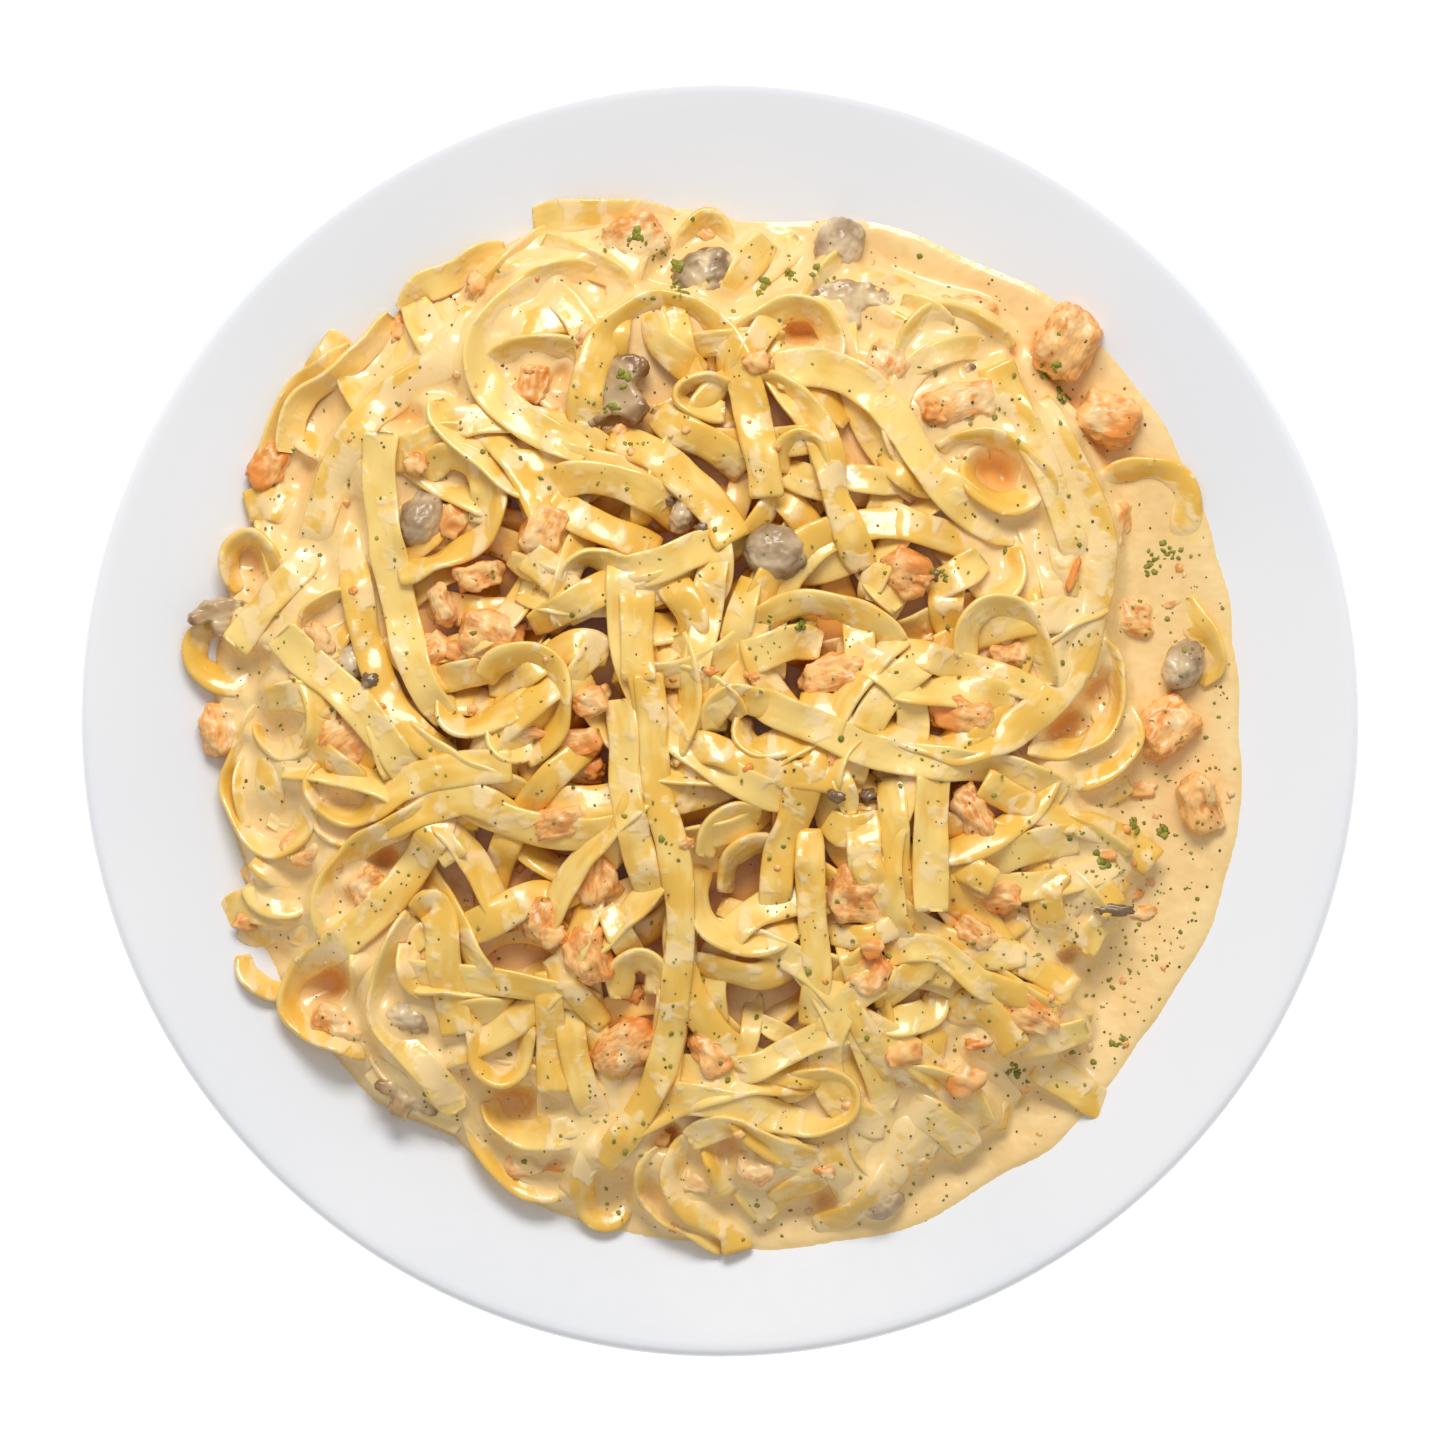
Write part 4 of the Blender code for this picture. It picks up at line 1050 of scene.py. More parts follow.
def mesh_piece(name, points, face_sets, finish, looks=None, runs=None, replaces=()):
    """A piece from points in millimetres. The finish reads looks and runs, which stay on the points."""
    mesh = bpy.data.meshes.new(name)
    mesh.vertices.add(len(points))
    mesh.vertices.foreach_set("co", (np.asarray(points, float) * MM).ravel())
    corners = np.concatenate([np.asarray(faces).ravel() for faces in face_sets])
    sizes = np.concatenate([np.full(len(faces), np.shape(faces)[1]) for faces in face_sets])
    mesh.loops.add(len(corners))
    mesh.loops.foreach_set("vertex_index", corners.astype(np.int32))
    mesh.polygons.add(len(sizes))
    starts = np.concatenate([[0], np.cumsum(sizes)[:-1]])
    mesh.polygons.foreach_set("loop_start", starts.astype(np.int32))
    mesh.update(calc_edges=True)
    mesh.validate()
    mesh.shade_smooth()
    if looks is not None:
        colours = mesh.color_attributes.new(name="looks", type="FLOAT_COLOR", domain="POINT")
        colours.data.foreach_set("color", np.column_stack([looks, np.ones(len(looks))]).ravel())
    if runs is not None:
        run = mesh.attributes.new(name="run", type="FLOAT_VECTOR", domain="POINT")
        run.data.foreach_set("vector", np.asarray(runs, float).ravel())
    mesh.materials.append(finish)
    piece = bpy.data.objects.new(name, mesh)
    bpy.context.scene.collection.objects.link(piece)
    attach(piece, "root")
    if replaces:
        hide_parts(*replaces)
    return piece


def coat_of(points, spread=1.5):
    """How thickly the sauce covers these points, from 0 to 1."""
    depth = sample(FILM, points[:, 0], points[:, 1]) - points[:, 2]
    x, y, z = points.T
    (broad, broad_seed, broad_share), (fine, fine_seed, fine_share) = COAT_PATCHES
    patches = 0.12 + broad_share * cloud(x + 0.7 * z, y, broad, broad_seed)
    patches = patches + fine_share * cloud(x, y + z, fine, fine_seed)
    return ease((depth + spread) / (spread + 0.5)) * 0.9 + np.clip(patches, 0, 0.7)


def depth_of(points):
    """How far these points lie below the rounded top of the heap, from 0 to 1: where finishes paint
    shade.
    """
    below = sample(SMOOTH_TOP, points[:, 0], points[:, 1]) - DEPTH_START - points[:, 2]
    return np.clip(below / DEPTH_RANGE, 0, 1)


def make_ribbons(name, layer, finish):
    """One layer of ribbons as a piece. Its looks are each ribbon's tone, the coat and the depth."""
    points, quads, ends, looks, runs, start = [], [], [], [], [], 0
    for number, ribbon in enumerate(layer):
        p, q, e, across, along = ribbon.mesh()
        points.append(p)
        quads.append(q + start)
        ends.append(e + start)
        coat = np.clip(coat_of(p), 0, 1)
        looks.append(np.column_stack([np.full(len(p), ribbon.tone), coat, depth_of(p)]))
        runs.append(np.column_stack([along, across, np.full(len(p), 17.0 * number)]))
        start += len(p)
    piece = mesh_piece(
        name, np.vstack(points), (np.vstack(quads), np.vstack(ends)), finish,
        np.vstack(looks), np.vstack(runs), ("noodles",),
    )
    return piece


def make_sauce(finish):
    """The poured surface. Its looks are where it lies thin over a ribbon, nothing, and the depth."""
    axis = np.arange(-GRID_REACH + 1, GRID_REACH - 1, FILM_CELL)
    x, y = np.meshgrid(axis, axis)
    z = sample(FILM, x, y)
    wanted = sample(SAUCE_REACH, x, y) > -SAUCE_SKIRT
    number = np.cumsum(wanted.ravel()).reshape(wanted.shape) - 1
    whole = wanted[:-1, :-1] & wanted[1:, :-1] & wanted[:-1, 1:] & wanted[1:, 1:]
    i, j = np.nonzero(whole)
    quads = np.column_stack([number[i, j], number[i, j + 1], number[i + 1, j + 1], number[i + 1, j]])
    points = np.column_stack([x[wanted], y[wanted], z[wanted]])
    thin = ease((sample(TOP, points[:, 0], points[:, 1]) - points[:, 2] + 1.2) / 1.6)
    looks = np.column_stack([thin, np.zeros(len(points)), depth_of(points)])
    piece = mesh_piece("sauce_poured", points, (quads,), finish, looks, replaces=("sauce",))
    return piece


def make_chunk(chunk, finish):
    """A chunk at its place in the heap. Its looks are its own height, the coat and the depth."""
    points = chunk.points + np.array([0, 0, chunk.lift])
    coat = np.clip(coat_of(points, 2.4), 0, 1)
    low = (points[:, 2] - points[:, 2].min()) / (np.ptp(points[:, 2]) + 1e-6)
    looks = np.column_stack([low, coat, depth_of(points)])
    piece = mesh_piece(
        chunk.name + "_cooked", points, (chunk.faces,), finish, looks, chunk.share, (chunk.name,)
    )
    return piece


def plate_outline():
    """(radius, height) round the turned section, from the middle of the top to that of the underside."""
    flat = [0.0, 20, 40, 60, 78]
    middle = PLATE_RADIUS - PLATE_LIP
    curve = [*np.linspace(82, 108, 14), *np.linspace(111, middle - 1.2, 8)]
    points = [(r, float(plate_top(r))) for r in flat + curve]
    lip_height = float(plate_top(middle)) - PLATE_LIP
    for turn in np.radians(np.linspace(84, -84, 13)):
        points.append((middle + PLATE_LIP * math.cos(turn), lip_height + PLATE_LIP * math.sin(turn)))
    for r in np.linspace(132, 94, 12):
        points.append((r, float(plate_top(r)) - PLATE_THICKNESS))
    return points + list(FOOT_SECTION)


def make_plate(finish):
    outline = plate_outline()
    angles = np.arange(PLATE_SEGMENTS) * math.tau / PLATE_SEGMENTS
    rings = [
        np.column_stack([r * np.cos(angles), r * np.sin(angles), np.full(PLATE_SEGMENTS, z)])
        for r, z in outline[1:-1]
    ]
    middles = np.array([[0, 0, outline[0][1]], [0, 0, outline[-1][1]]])
    points = np.vstack([*rings, middles])
    turn = np.arange(PLATE_SEGMENTS)
    after = (turn + 1) % PLATE_SEGMENTS
    rows = np.arange(len(rings) - 1)[:, None] * PLATE_SEGMENTS
    quads = np.stack(
        [rows + turn, rows + PLATE_SEGMENTS + turn, rows + PLATE_SEGMENTS + after, rows + after], axis=-1
    ).reshape(-1, 4)
    last = (len(rings) - 1) * PLATE_SEGMENTS
    top = np.column_stack([turn, after, np.full(PLATE_SEGMENTS, len(points) - 2)])
    base = np.column_stack([last + after, last + turn, np.full(PLATE_SEGMENTS, len(points) - 1)])
    fans = np.vstack([top, base])
    piece = mesh_piece("plate_glazed", points, (quads, fans), finish, replaces=("plate",))
    return piece


# ---------------------------------------------------------------- herbs and crumbs


def surface_frame(x, y):
    """Height and slope of the finished surface."""
    h = SLOPE_REACH
    z = sample(SURFACE, x, y)
    dx = (sample(SMOOTH_SURFACE, x + h, y) - sample(SMOOTH_SURFACE, x - h, y)) / (2 * h)
    dy = (sample(SMOOTH_SURFACE, x, y + h) - sample(SMOOTH_SURFACE, x, y - h)) / (2 * h)
    return float(z), float(dx), float(dy)


def speck_density(x, y):
    """How likely a speck is to lie here."""
    density = HERBS_EVERYWHERE
    for at_x, at_y, width, height, share in HERB_DRIFTS:
        density += share * math.exp(-(((x - at_x) / width) ** 2) - ((y - at_y) / height) ** 2)
    return density


def scattered(count, pick):
    """Places on the food, denser where the herbs are, and never on a steep side."""
    found = []
    while len(found) < count:
        x = pick.uniform(-SCATTER_REACH, SCATTER_REACH)
        y = pick.uniform(-SCATTER_REACH, SCATTER_REACH)
        if sample(SAUCE_REACH, x, y) < 1.5 or pick.random() > speck_density(x, y):
            continue
        z, dx, dy = surface_frame(x, y)
        if dx * dx + dy * dy < STEEPEST:
            found.append((x, y, z, dx, dy))
    return found


def flake(pick, x, y, z, dx, dy, size):
    """A scrap of chopped leaf: a crooked little shape with a raised middle, lying on the surface."""
    count = pick.choice((5, 6, 7))
    turn, stretch = pick.uniform(0, math.tau), pick.uniform(0.45, 1.0)
    curl = pick.uniform(-0.25, 0.35)
    rim = []
    for k in range(count):
        a = math.tau * k / count + pick.uniform(-0.25, 0.25)
        r = size / 2 * pick.uniform(0.65, 1.1)
        u, v = r * math.cos(a), r * math.sin(a) * stretch
        px = u * math.cos(turn) - v * math.sin(turn)
        py = u * math.sin(turn) + v * math.cos(turn)
        rim.append((px, py, px * dx + py * dy + curl * r * r / size))
    rim = np.array(rim)
    middle = np.array([[0, 0, 0.12 * size]])
    top = np.vstack([rim, middle]) + [x, y, z + 0.12]
    low = np.vstack([rim, middle]) + [x, y, z - 0.10]
    ring = np.arange(count)
    after = (ring + 1) % count
    fan = np.column_stack([ring, after, np.full(count, count)])
    below = count + 1
    sides = [np.column_stack([after, ring, ring + below])]
    sides.append(np.column_stack([after, ring + below, after + below]))
    return np.vstack([top, low]), np.vstack([fan, fan[:, ::-1] + below, *sides])


def pebble(pick, x, y, z, size, flat=0.7, detail=1, rough=0.25, stretch=(1.0, 1.0), turn=0.0):
    """A small broken bit, stretched and turned on the surface."""
    bm = bmesh.new()
    bmesh.ops.create_icosphere(bm, subdivisions=detail, radius=0.5)
    shift = Vector((pick.uniform(0, 50), pick.uniform(0, 50), pick.uniform(0, 50)))
    points = []
    for v in bm.verts:
        co = v.co * (1 + rough * noise.noise(v.co * 3.5 + shift) * 2)
        if detail > 1:
            co *= 1 + 0.5 * rough * noise.noise(v.co * 9 + shift)
        px, py = co.x * stretch[0], co.y * stretch[1]
        points.append(
            (
                x + size * (px * math.cos(turn) - py * math.sin(turn)),
                y + size * (px * math.sin(turn) + py * math.cos(turn)),
                z + size * co.z * flat,
            )
        )
    faces = [[v.index for v in face.verts] for face in bm.faces]
    bm.free()
    return np.array(points), np.array(faces)


def joined(parts):
    """Parts as one: their points, their faces and the looks of each point."""
    points, faces, tones, start = [], [], [], 0
    for number, (p, f) in enumerate(parts):
        points.append(p)
        faces.append(f + start)
        tones.append(np.full(len(p), (number * 0.618034) % 1.0))
        start += len(p)
    points = np.vstack(points)
    coat = np.clip(coat_of(points, 1.2), 0, 1)
    looks = np.column_stack([np.concatenate(tones), coat, depth_of(points)])
    return points, (np.vstack(faces),), looks


def make_parsley(pick, finish):
    leaves = []
    for x, y, z, dx, dy in scattered(PARSLEY_SCRAPS, pick):
        size = min(2.1, 0.55 + 0.5 * abs(pick.gauss(0, 1)))
        leaves.append(flake(pick, x, y, z, dx, dy, size))
    for middle_x, middle_y, across in PARSLEY_CLUMPS:
        for _ in range(int(4 + 2.2 * across)):
            x, y = middle_x + pick.gauss(0, across / 3.5), middle_y + pick.gauss(0, across / 3.5)
            z, dx, dy = surface_frame(x, y)
            leaves.append(flake(pick, x, y, z, dx, dy, pick.uniform(0.9, 2.3)))
    points, faces, looks = joined(leaves)
    mesh_piece("parsley", points, faces, finish, looks)


def make_pepper(pick, finish):
    grains = [
        pebble(pick, x, y, z + 0.03, min(1.0, 0.34 + 0.2 * abs(pick.gauss(0, 1))))
        for x, y, z, dx, dy in scattered(PEPPER_GRAINS, pick)
    ]
    points, faces, looks = joined(grains)
    mesh_piece("pepper", points, faces, finish, looks)


def make_bits(name, places, loose, pick, finish):
    """Broken bits at these places, and a number of smaller loose ones."""
    bits = []
    for x, y, length, width in places:
        z = surface_frame(x, y)[0]
        turn = pick.uniform(-0.5, 0.5)
        flat = min(length, width) * 0.6
        bits.append(pebble(pick, x, y, z - 0.1, 1.0, flat, 3, 0.3, (length, width), turn))
    for x, y, z, dx, dy in scattered(loose, pick):
        bits.append(pebble(pick, x, y, z, pick.uniform(0.9, 2.4), 0.6, 2, 0.35))
    points, faces, looks = joined(bits)
    piece = mesh_piece(name, points, faces, finish, looks, (points - points.mean(axis=0)) / 3)


# ---------------------------------------------------------------- finishes


def colour(red, green, blue):
    """A printed colour of 0 to 255 as the linear colour that a finish takes."""
    shares = (c / 255 for c in (red, green, blue))
    return tuple(c / 12.92 if c <= 0.04045 else ((c + 0.055) / 1.055) ** 2.4 for c in shares) + (1.0,)


NOODLE_PALE = colour(249, 212, 122)
NOODLE_DEEP = colour(240, 188, 76)
SAUCE_PALE = colour(250, 216, 152)
SAUCE_DEEP = colour(243, 203, 134)
# Painted shade: the warm dark colour that deep points are multiplied by, standing in for shadow in the
# heap.
PAINTED_SHADE_TINT = colour(250, 196, 88)
DUST_GREEN = colour(112, 104, 48)
CHICKEN_PALE = colour(253, 196, 120)
CHICKEN_DEEP = colour(228, 142, 58)
CHICKEN_RED = colour(238, 146, 58)
CHICKEN_CREAM = colour(246, 206, 144)
# Mushroom: pale, dark, and the rim of the skin
SKIN_COLOURS = (colour(222, 196, 156), colour(170, 140, 104), colour(126, 96, 62))
FLESH_COLOURS = (colour(216, 188, 144), colour(180, 144, 98), colour(140, 98, 56))
MUSHROOM_CREAM = colour(232, 205, 158)
PARSLEY_COLOURS = (colour(108, 114, 20), colour(168, 162, 60))
PEPPER_COLOURS = (colour(84, 66, 30), colour(138, 114, 62))
PLATE_WHITE = colour(240, 240, 242)
PLATE_COOL = colour(236, 237, 240)
FLOOR_GREYS = ((0.86, 0.86, 0.86, 1), (0.88, 0.88, 0.88, 1))
STUDIO_WHITE = (0.98, 0.99, 1.0, 1)


def node_group(name, inputs, outputs):
    group = bpy.data.node_groups.new(name, "ShaderNodeTree")
    for label, kind, value in inputs:
        socket = group.interface.new_socket(name=label, in_out="INPUT", socket_type="NodeSocket" + kind)
        if value is not None:
            socket.default_value = value
    for label, kind in outputs:
        group.interface.new_socket(name=label, in_out="OUTPUT", socket_type="NodeSocket" + kind)
    return group, group.nodes.new("NodeGroupInput"), group.nodes.new("NodeGroupOutput")


def add(tree, kind, **settings):
    """A shader node with these settings, each one its own or that of the input of that name."""
    made = tree.nodes.new("ShaderNode" + kind)
    for key, value in settings.items():
        if hasattr(made, key):
            setattr(made, key, value)
        else:
            made.inputs[key.replace("_", " ")].default_value = value
    return made


def noise_at(tree, place, scale):
    made = add(tree, "TexNoise", Scale=scale, Detail=1.5)
    tree.links.new(place, made.inputs["Vector"])
    return made.outputs["Fac"]


def remap(tree, value, low, high, to_low=0.0, to_high=1.0):
    """The value's range from low to high, eased into another range."""
    made = add(tree, "MapRange", interpolation_type="SMOOTHSTEP")
    for label, number in zip(("From Min", "From Max", "To Min", "To Max"), (low, high, to_low, to_high)):
        made.inputs[label].default_value = number
    tree.links.new(value, made.inputs["Value"])
    return made.outputs["Result"]


def feed(tree, socket, value):
    """Links an output to the socket, or sets a plain value on it."""
    if hasattr(value, "is_output"):
        tree.links.new(value, socket)
    else:
        socket.default_value = value


def mixed(tree, share, first, second, blend_type="MIX"):
    made = add(tree, "Mix", data_type="RGBA", blend_type=blend_type, clamp_factor=True)
    feed(tree, made.inputs[0], share)
    feed(tree, made.inputs[6], first)
    feed(tree, made.inputs[7], second)
    return made.outputs[2]


def maths(tree, operation, first, second):
    made = add(tree, "Math", operation=operation)
    feed(tree, made.inputs[0], first)
    feed(tree, made.inputs[1], second)
    return made.outputs[0]


def blend(tree, first, first_share, second, second_share):
    """Two values added, each with its own share."""
    first = maths(tree, "MULTIPLY", first, first_share)
    return maths(tree, "ADD", first, maths(tree, "MULTIPLY", second, second_share))


def sauce_coat_group():
    """Cream sauce over another colour, thick where the coat is, in patches; painted shade in the depths.
    """
    group, given, made = node_group(
        "cream_coat",
        (
            ("Place", "Vector", None), ("Under", "Color", (0.8, 0.6, 0.2, 1)), ("Coat", "Float", 0.5),
            ("Depth", "Float", 0.0), ("Sauce", "Color", SAUCE_PALE),
            ("Painted Shade Tint", "Color", PAINTED_SHADE_TINT), ("Depth Share", "Float", 0.75),
        ),
        (("Color", "Color"), ("Coat", "Float"), ("Height", "Float")),
    )
    place = given.outputs["Place"]
    fine = noise_at(group, place, 420.0)
    broad = noise_at(group, place, 130.0)
    wave = blend(group, fine, 0.45, broad, 0.55)
    swing = maths(group, "MULTIPLY", maths(group, "SUBTRACT", wave, 0.5), 1.2)
    level = maths(group, "ADD", given.outputs["Coat"], swing)
    coat = remap(group, level, 0.22, 0.72)
    covered = mixed(group, coat, given.outputs["Under"], given.outputs["Sauce"])
    # Painted shade: the colour is multiplied by a warm dark tint as far as the point lies deep in the
    # heap.
    painted_shade = mixed(group, 1.0, covered, given.outputs["Painted Shade Tint"], "MULTIPLY")
    shade_share = maths(group, "MULTIPLY", given.outputs["Depth"], given.outputs["Depth Share"])
    group.links.new(mixed(group, shade_share, covered, painted_shade), made.inputs["Color"])
    group.links.new(coat, made.inputs["Coat"])
    group.links.new(blend(group, coat, 0.5, wave, 0.6), made.inputs["Height"])
    return group


def fine_herb_group():
    """Dust of herb and pepper too fine to be pieces."""
    group, given, made = node_group(
        "herb_dust",
        (("Place", "Vector", None), ("Amount", "Float", 0.5), ("Base", "Color", (0.8, 0.6, 0.3, 1))),
        (("Color", "Color"),),
    )
    cells_of = add(group, "TexVoronoi", Scale=420.0)
    group.links.new(given.outputs["Place"], cells_of.inputs["Vector"])
    dots = remap(group, cells_of.outputs["Distance"], 0.10, 0.17, 1.0, 0.0)
    chosen = add(group, "SeparateColor")
    group.links.new(cells_of.outputs["Color"], chosen.inputs["Color"])
    rare = remap(group, chosen.outputs["Red"], 0.90, 0.93)
    share = maths(group, "MULTIPLY", maths(group, "MULTIPLY", dots, rare), given.outputs["Amount"])
    dusted = mixed(group, share, given.outputs["Base"], DUST_GREEN)
    group.links.new(dusted, made.inputs["Color"])
    return group


CREAM_COAT = sauce_coat_group()
HERB_DUST = fine_herb_group()


def new_finish(name):
    made = bpy.data.materials.new(name)
    made.use_nodes = True
    tree = made.node_tree
    return made, tree, tree.nodes["Principled BSDF"]


def place_group(tree, group, **inputs):
    made = tree.nodes.new("ShaderNodeGroup")
    made.node_tree = group
    for label, value in inputs.items():
        feed(tree, made.inputs[label.replace("_", " ")], value)
    return made


def object_place(tree):
    return tree.nodes.new("ShaderNodeTexCoord").outputs["Object"]


def looks_of(tree):
    """The three values kept on each point."""
    read = add(tree, "Attribute", attribute_name="looks")
    split = add(tree, "SeparateColor")
    tree.links.new(read.outputs["Color"], split.inputs["Color"])
    return split.outputs["Red"], split.outputs["Green"], split.outputs["Blue"]


def run_of(tree):
    """Where each point lies along and across its own piece."""
    return add(tree, "Attribute", attribute_name="run").outputs["Vector"]


def grain_along(tree, scale, fineness):
    """Noise drawn out along a piece."""
    stretch = add(tree, "Mapping")
    stretch.inputs["Scale"].default_value = scale
    tree.links.new(run_of(tree), stretch.inputs["Vector"])
    return noise_at(tree, stretch.outputs["Vector"], fineness)


def bump_into(tree, shader, height, distance, strength):
    made = add(tree, "Bump", Distance=distance, Strength=strength)
    feed(tree, made.inputs["Height"], height)
    tree.links.new(made.outputs["Normal"], shader.inputs["Normal"])


def wet(shader, weight, roughness):
    """A thin film of liquid over the surface."""
    shader.inputs["Coat Weight"].default_value = weight
    shader.inputs["Coat Roughness"].default_value = roughness


def noodle_finish():
    made, tree, shader = new_finish("boiled_noodle")
    place = object_place(tree)
    tone, coat, depth = looks_of(tree)
    streaks = grain_along(tree, (0.09, 0.9, 1.0), 1.6)
    clouds = noise_at(tree, place, 90.0)
    own = maths(tree, "MULTIPLY", maths(tree, "SUBTRACT", tone, 0.5), 0.22)
    blotch = maths(tree, "ADD", blend(tree, clouds, 0.6, streaks, 0.4), own)
    base = mixed(tree, remap(tree, blotch, 0.38, 0.62), NOODLE_DEEP, NOODLE_PALE)
    # Deep noodles get painted shade, a warm darkening, from the depth.
    coated = place_group(
        tree, CREAM_COAT, Place=place, Under=base, Coat=coat, Depth=depth, Sauce=SAUCE_PALE,
        Depth_Share=0.8,
    )
    tree.links.new(coated.outputs["Color"], shader.inputs["Base Color"])
    tree.links.new(remap(tree, clouds, 0.3, 0.7, 0.24, 0.36), shader.inputs["Roughness"])
    wet(shader, 0.55, 0.10)
    height = maths(tree, "ADD", coated.outputs["Height"], maths(tree, "MULTIPLY", streaks, 0.25))
    bump_into(tree, shader, height, 0.00045, 0.8)
    return made


def sauce_finish():
    made, tree, shader = new_finish("cream_sauce")
    place = object_place(tree)
    thin, _, depth = looks_of(tree)
    swirl = noise_at(tree, place, 55.0)
    fine = noise_at(tree, place, 300.0)
    tone = blend(tree, swirl, 0.7, fine, 0.3)
    base = mixed(tree, remap(tree, tone, 0.35, 0.65), SAUCE_DEEP, SAUCE_PALE)
    yellow = mixed(tree, maths(tree, "MULTIPLY", thin, 0.65), base, NOODLE_PALE)
    # Sauce deep in the gaps gets painted shade, a warm darkening, from the depth.
    coated = place_group(
        tree, CREAM_COAT, Place=place, Under=yellow, Coat=0.35, Depth=depth, Sauce=SAUCE_PALE,
        Depth_Share=0.9,
    )
    dusted = place_group(tree, HERB_DUST, Place=place, Base=coated.outputs["Color"], Amount=0.8)
    tree.links.new(dusted.outputs["Color"], shader.inputs["Base Color"])
    tree.links.new(remap(tree, fine, 0.3, 0.7, 0.26, 0.40), shader.inputs["Roughness"])
    wet(shader, 0.55, 0.10)
    height = maths(tree, "ADD", maths(tree, "MULTIPLY", swirl, 1.5), fine)
    bump_into(tree, shader, height, 0.0005, 0.7)
    return made


def chicken_finish():
    made, tree, shader = new_finish("smoked_chicken")
    place = object_place(tree)
    high, coat, depth = looks_of(tree)
    fibres = grain_along(tree, (0.3, 0.8, 0.8), 1.5)
    clouds = noise_at(tree, place, 190.0)
    mix = blend(tree, fibres, 0.5, clouds, 0.5)
    meat = mixed(tree, remap(tree, mix, 0.34, 0.60), CHICKEN_DEEP, CHICKEN_PALE)
    meat = mixed(tree, remap(tree, noise_at(tree, place, 75.0), 0.52, 0.68), meat, CHICKEN_RED)
    thinned = blend(tree, coat, 0.8, high, -0.05)
    # Deep chicken gets painted shade, a warm darkening, from the depth.
    coated = place_group(
        tree, CREAM_COAT, Place=place, Under=meat, Coat=thinned, Depth=depth,
        Sauce=CHICKEN_CREAM, Depth_Share=0.6,
    )
    tree.links.new(coated.outputs["Color"], shader.inputs["Base Color"])
    tree.links.new(remap(tree, clouds, 0.3, 0.7, 0.32, 0.52), shader.inputs["Roughness"])
    wet(shader, 0.25, 0.2)
    height = blend(tree, fibres, 0.5, clouds, 0.9)
    bump_into(tree, shader, maths(tree, "ADD", height, coated.outputs["Height"]), 0.0005, 0.7)
    return made


def mushroom_finish(name, colours, rim_from, rim_to):
    """Mushroom with its rim from one distance to another, in millimetres, from the piece's middle."""
    pale, dark, rim = colours
    made, tree, shader = new_finish(name)
    place = object_place(tree)
    high, coat, depth = looks_of(tree)
    away = add(tree, "VectorMath", operation="LENGTH")
    tree.links.new(run_of(tree), away.inputs[0])
    grain = noise_at(tree, place, 260.0)
    clouds = noise_at(tree, place, 110.0)
    flesh = mixed(tree, remap(tree, clouds, 0.36, 0.64), dark, pale)
    ragged = maths(tree, "MULTIPLY", maths(tree, "SUBTRACT", grain, 0.5), 3.0)
    reach = maths(tree, "ADD", away.outputs["Value"], ragged)
    flesh = mixed(tree, remap(tree, reach, rim_from, rim_to), flesh, rim)
    thinned = blend(tree, coat, 0.62, high, -0.15)
    # Deep mushroom gets painted shade, a warm darkening, from the depth.
    coated = place_group(
        tree, CREAM_COAT, Place=place, Under=flesh, Coat=thinned, Depth=depth,
        Sauce=MUSHROOM_CREAM, Depth_Share=0.5,
    )
    tree.links.new(coated.outputs["Color"], shader.inputs["Base Color"])
    tree.links.new(remap(tree, grain, 0.3, 0.7, 0.25, 0.42), shader.inputs["Roughness"])
    wet(shader, 0.35, 0.15)
    bump_into(tree, shader, maths(tree, "ADD", grain, clouds), 0.0004, 0.8)
    return made


def speck_finish(name, first, second, rough):
    made, tree, shader = new_finish(name)
    place = object_place(tree)
    tone, _, _ = looks_of(tree)
    grain = noise_at(tree, place, 900.0)
    share = blend(tree, tone, 0.7, grain, 0.3)
    tree.links.new(mixed(tree, share, first, second), shader.inputs["Base Color"])
    tree.links.new(remap(tree, grain, 0.3, 0.7, rough - 0.08, rough + 0.08), shader.inputs["Roughness"])
    bump_into(tree, shader, grain, 0.0001, 0.6)
    return made


def glaze_finish():
    made, tree, shader = new_finish("white_glaze")
    place = object_place(tree)
    broad = noise_at(tree, place, 14.0)
    fine = noise_at(tree, place, 260.0)
    base = mixed(tree, remap(tree, broad, 0.35, 0.65), PLATE_COOL, PLATE_WHITE)
    tree.links.new(base, shader.inputs["Base Color"])
    tree.links.new(remap(tree, fine, 0.3, 0.7, 0.20, 0.26), shader.inputs["Roughness"])
    wet(shader, 0.4, 0.08)
    bump_into(tree, shader, broad, 0.0002, 0.15)
    return made


noodle = noodle_finish()
cream = sauce_finish()
meat = chicken_finish()
cap = mushroom_finish("mushroom_skin", SKIN_COLOURS, 5.4, 7.4)
slice_flesh = mushroom_finish("mushroom_flesh", FLESH_COLOURS, 5.2, 8.0)
herb = speck_finish("chopped_parsley", *PARSLEY_COLOURS, 0.6)
peppercorn = speck_finish("ground_pepper", *PEPPER_COLOURS, 0.7)
glaze = glaze_finish()

# ---------------------------------------------------------------- making the pieces

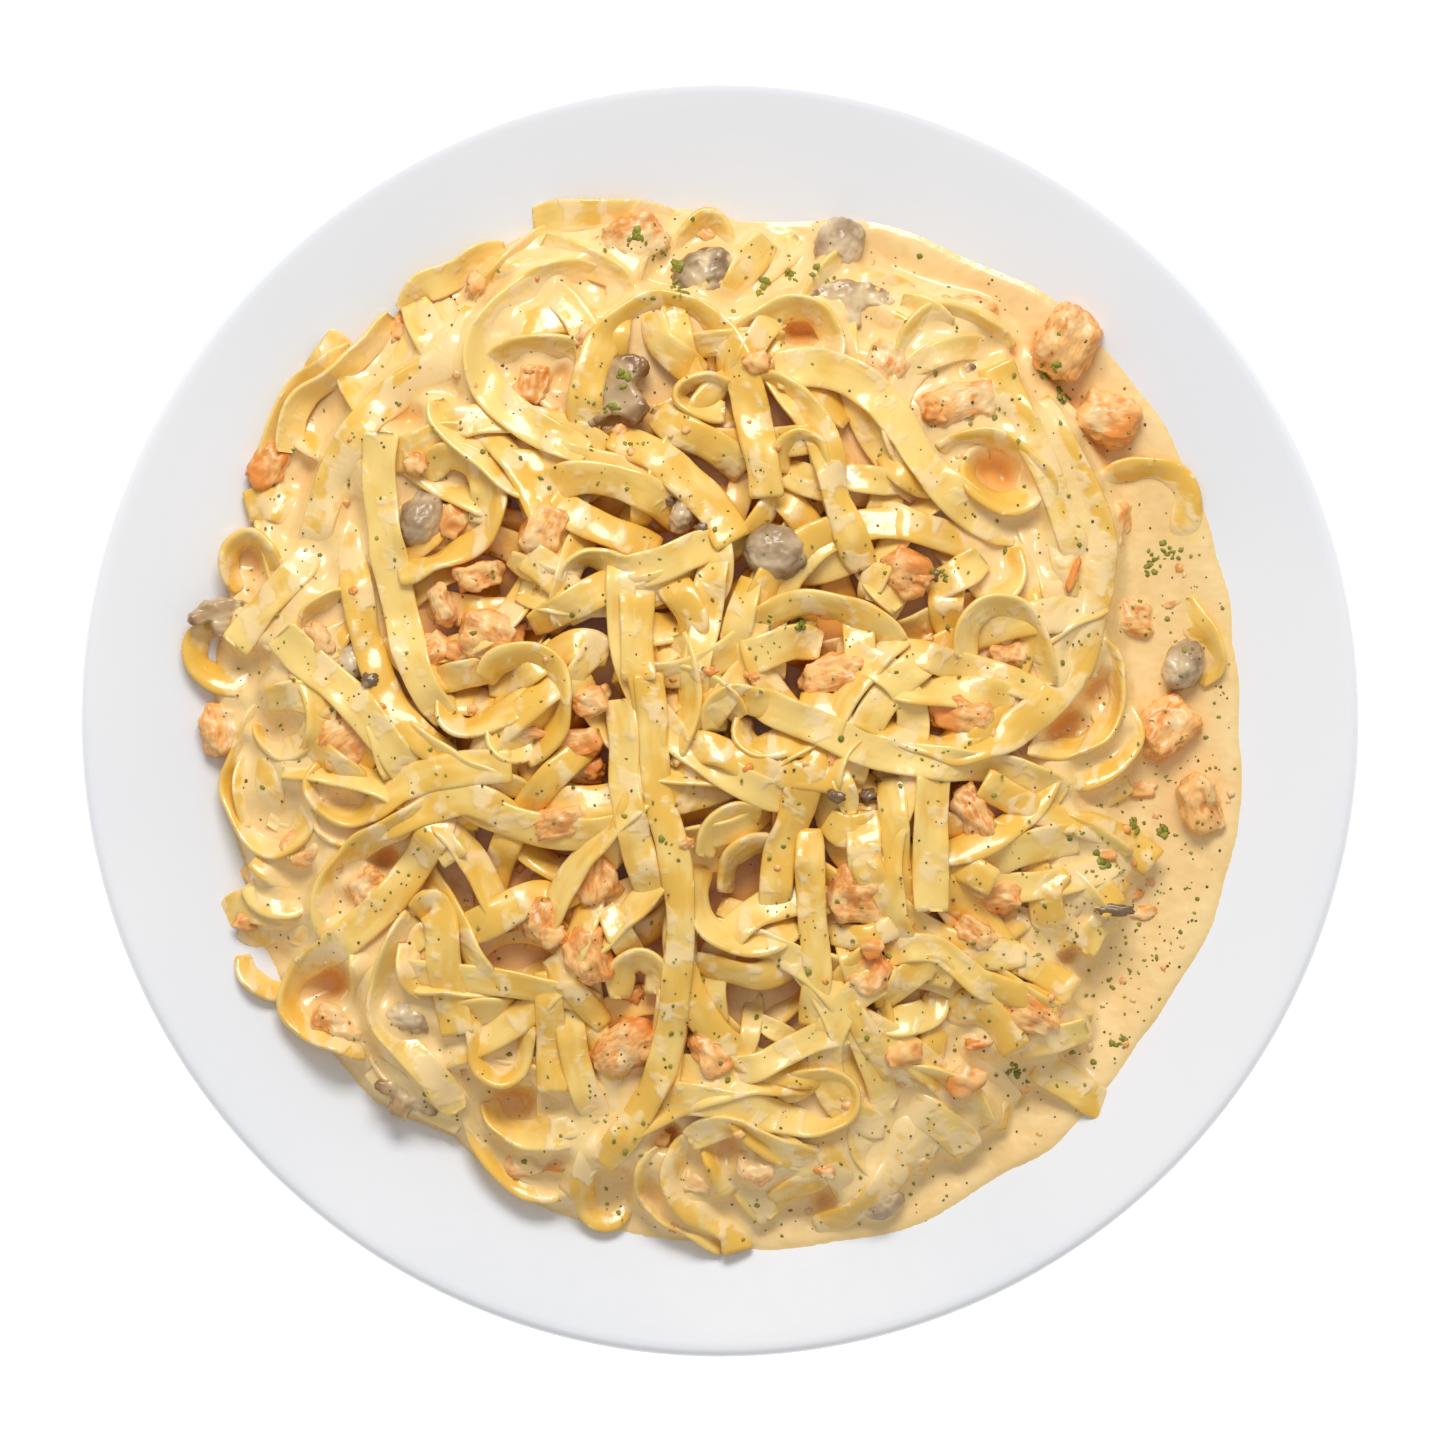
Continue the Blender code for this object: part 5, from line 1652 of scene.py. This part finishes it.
make_plate(glaze)
make_sauce(cream)
for name, layer in zip(("noodles_inside", "noodles_under", "noodles_over"), layers):
    make_ribbons(name, layer, noodle)
for kind, finish, slot_name in (
    ("chicken", meat, "chicken"),
    ("mushroom_cap", cap, "mushroom"),
    ("mushroom_slice", slice_flesh, "mushroom"),
):
    for chunk in chunks[kind]:
        make_chunk(chunk, finish)
        SURFACE[chunk.cells] = np.maximum(SURFACE[chunk.cells], chunk.tops + chunk.lift)
SMOOTH_SURFACE = blur(SURFACE, 0.5)
scatter = random.Random(77)
make_parsley(scatter, herb)
make_pepper(scatter, peppercorn)
make_bits("chicken_crumbs", CRUMBS, LOOSE_CRUMBS, scatter, meat)
make_bits("mushroom_bits", MUSHROOM_BITS, 0, scatter, cap)

# ---------------------------------------------------------------- floor, light and camera


def make_floor():
    mesh = bpy.data.meshes.new("floor")
    half = FLOOR_SIDE / 2
    corners = ((-half, -half, 0), (half, -half, 0), (half, half, 0), (-half, half, 0))
    mesh.from_pydata(corners, [], [(0, 1, 2, 3)])
    made, tree, shader = new_finish("pale_floor")
    place = object_place(tree)
    base = mixed(tree, noise_at(tree, place, 6.0), *FLOOR_GREYS)
    tree.links.new(base, shader.inputs["Base Color"])
    shader.inputs["Roughness"].default_value = 0.9
    shader.inputs["Emission Color"].default_value = (1, 1, 1, 1)
    shader.inputs["Emission Strength"].default_value = FLOOR_GLOW
    mesh.materials.append(made)
    floor = bpy.data.objects.new("floor", mesh)
    bpy.context.scene.collection.objects.link(floor)


def make_light():
    lamp = bpy.data.lights.new("key", "AREA")
    lamp.shape = "RECTANGLE"
    lamp.size, lamp.size_y = KEY_SIZE
    lamp.energy = KEY_POWER
    thing = bpy.data.objects.new("key", lamp)
    thing.location = KEY_PLACE
    thing.rotation_euler = (-Vector(KEY_PLACE)).to_track_quat("-Z", "Y").to_euler()
    bpy.context.scene.collection.objects.link(thing)
    world = bpy.data.worlds.new("studio")
    world.use_nodes = True
    studio = world.node_tree.nodes["Background"]
    studio.inputs["Color"].default_value = STUDIO_WHITE
    studio.inputs["Strength"].default_value = FILL_STRENGTH
    bpy.context.scene.world = world


def make_camera():
    frame_side = 2 * PLATE_RADIUS * MM / PLATE_SHARE
    lens = bpy.data.cameras.new("camera")
    lens.sensor_width = SENSOR
    lens.lens = SENSOR * (CAMERA_HEIGHT - PLATE_HEIGHT * MM) / frame_side
    lens.clip_end = 20.0
    camera = bpy.data.objects.new("camera", lens)
    camera.location = (0.0, CAMERA_SHIFT, CAMERA_HEIGHT)
    bpy.context.scene.collection.objects.link(camera)
    bpy.context.scene.camera = camera


make_floor()
make_light()
make_camera()
bpy.context.scene.view_settings.view_transform = "Standard"
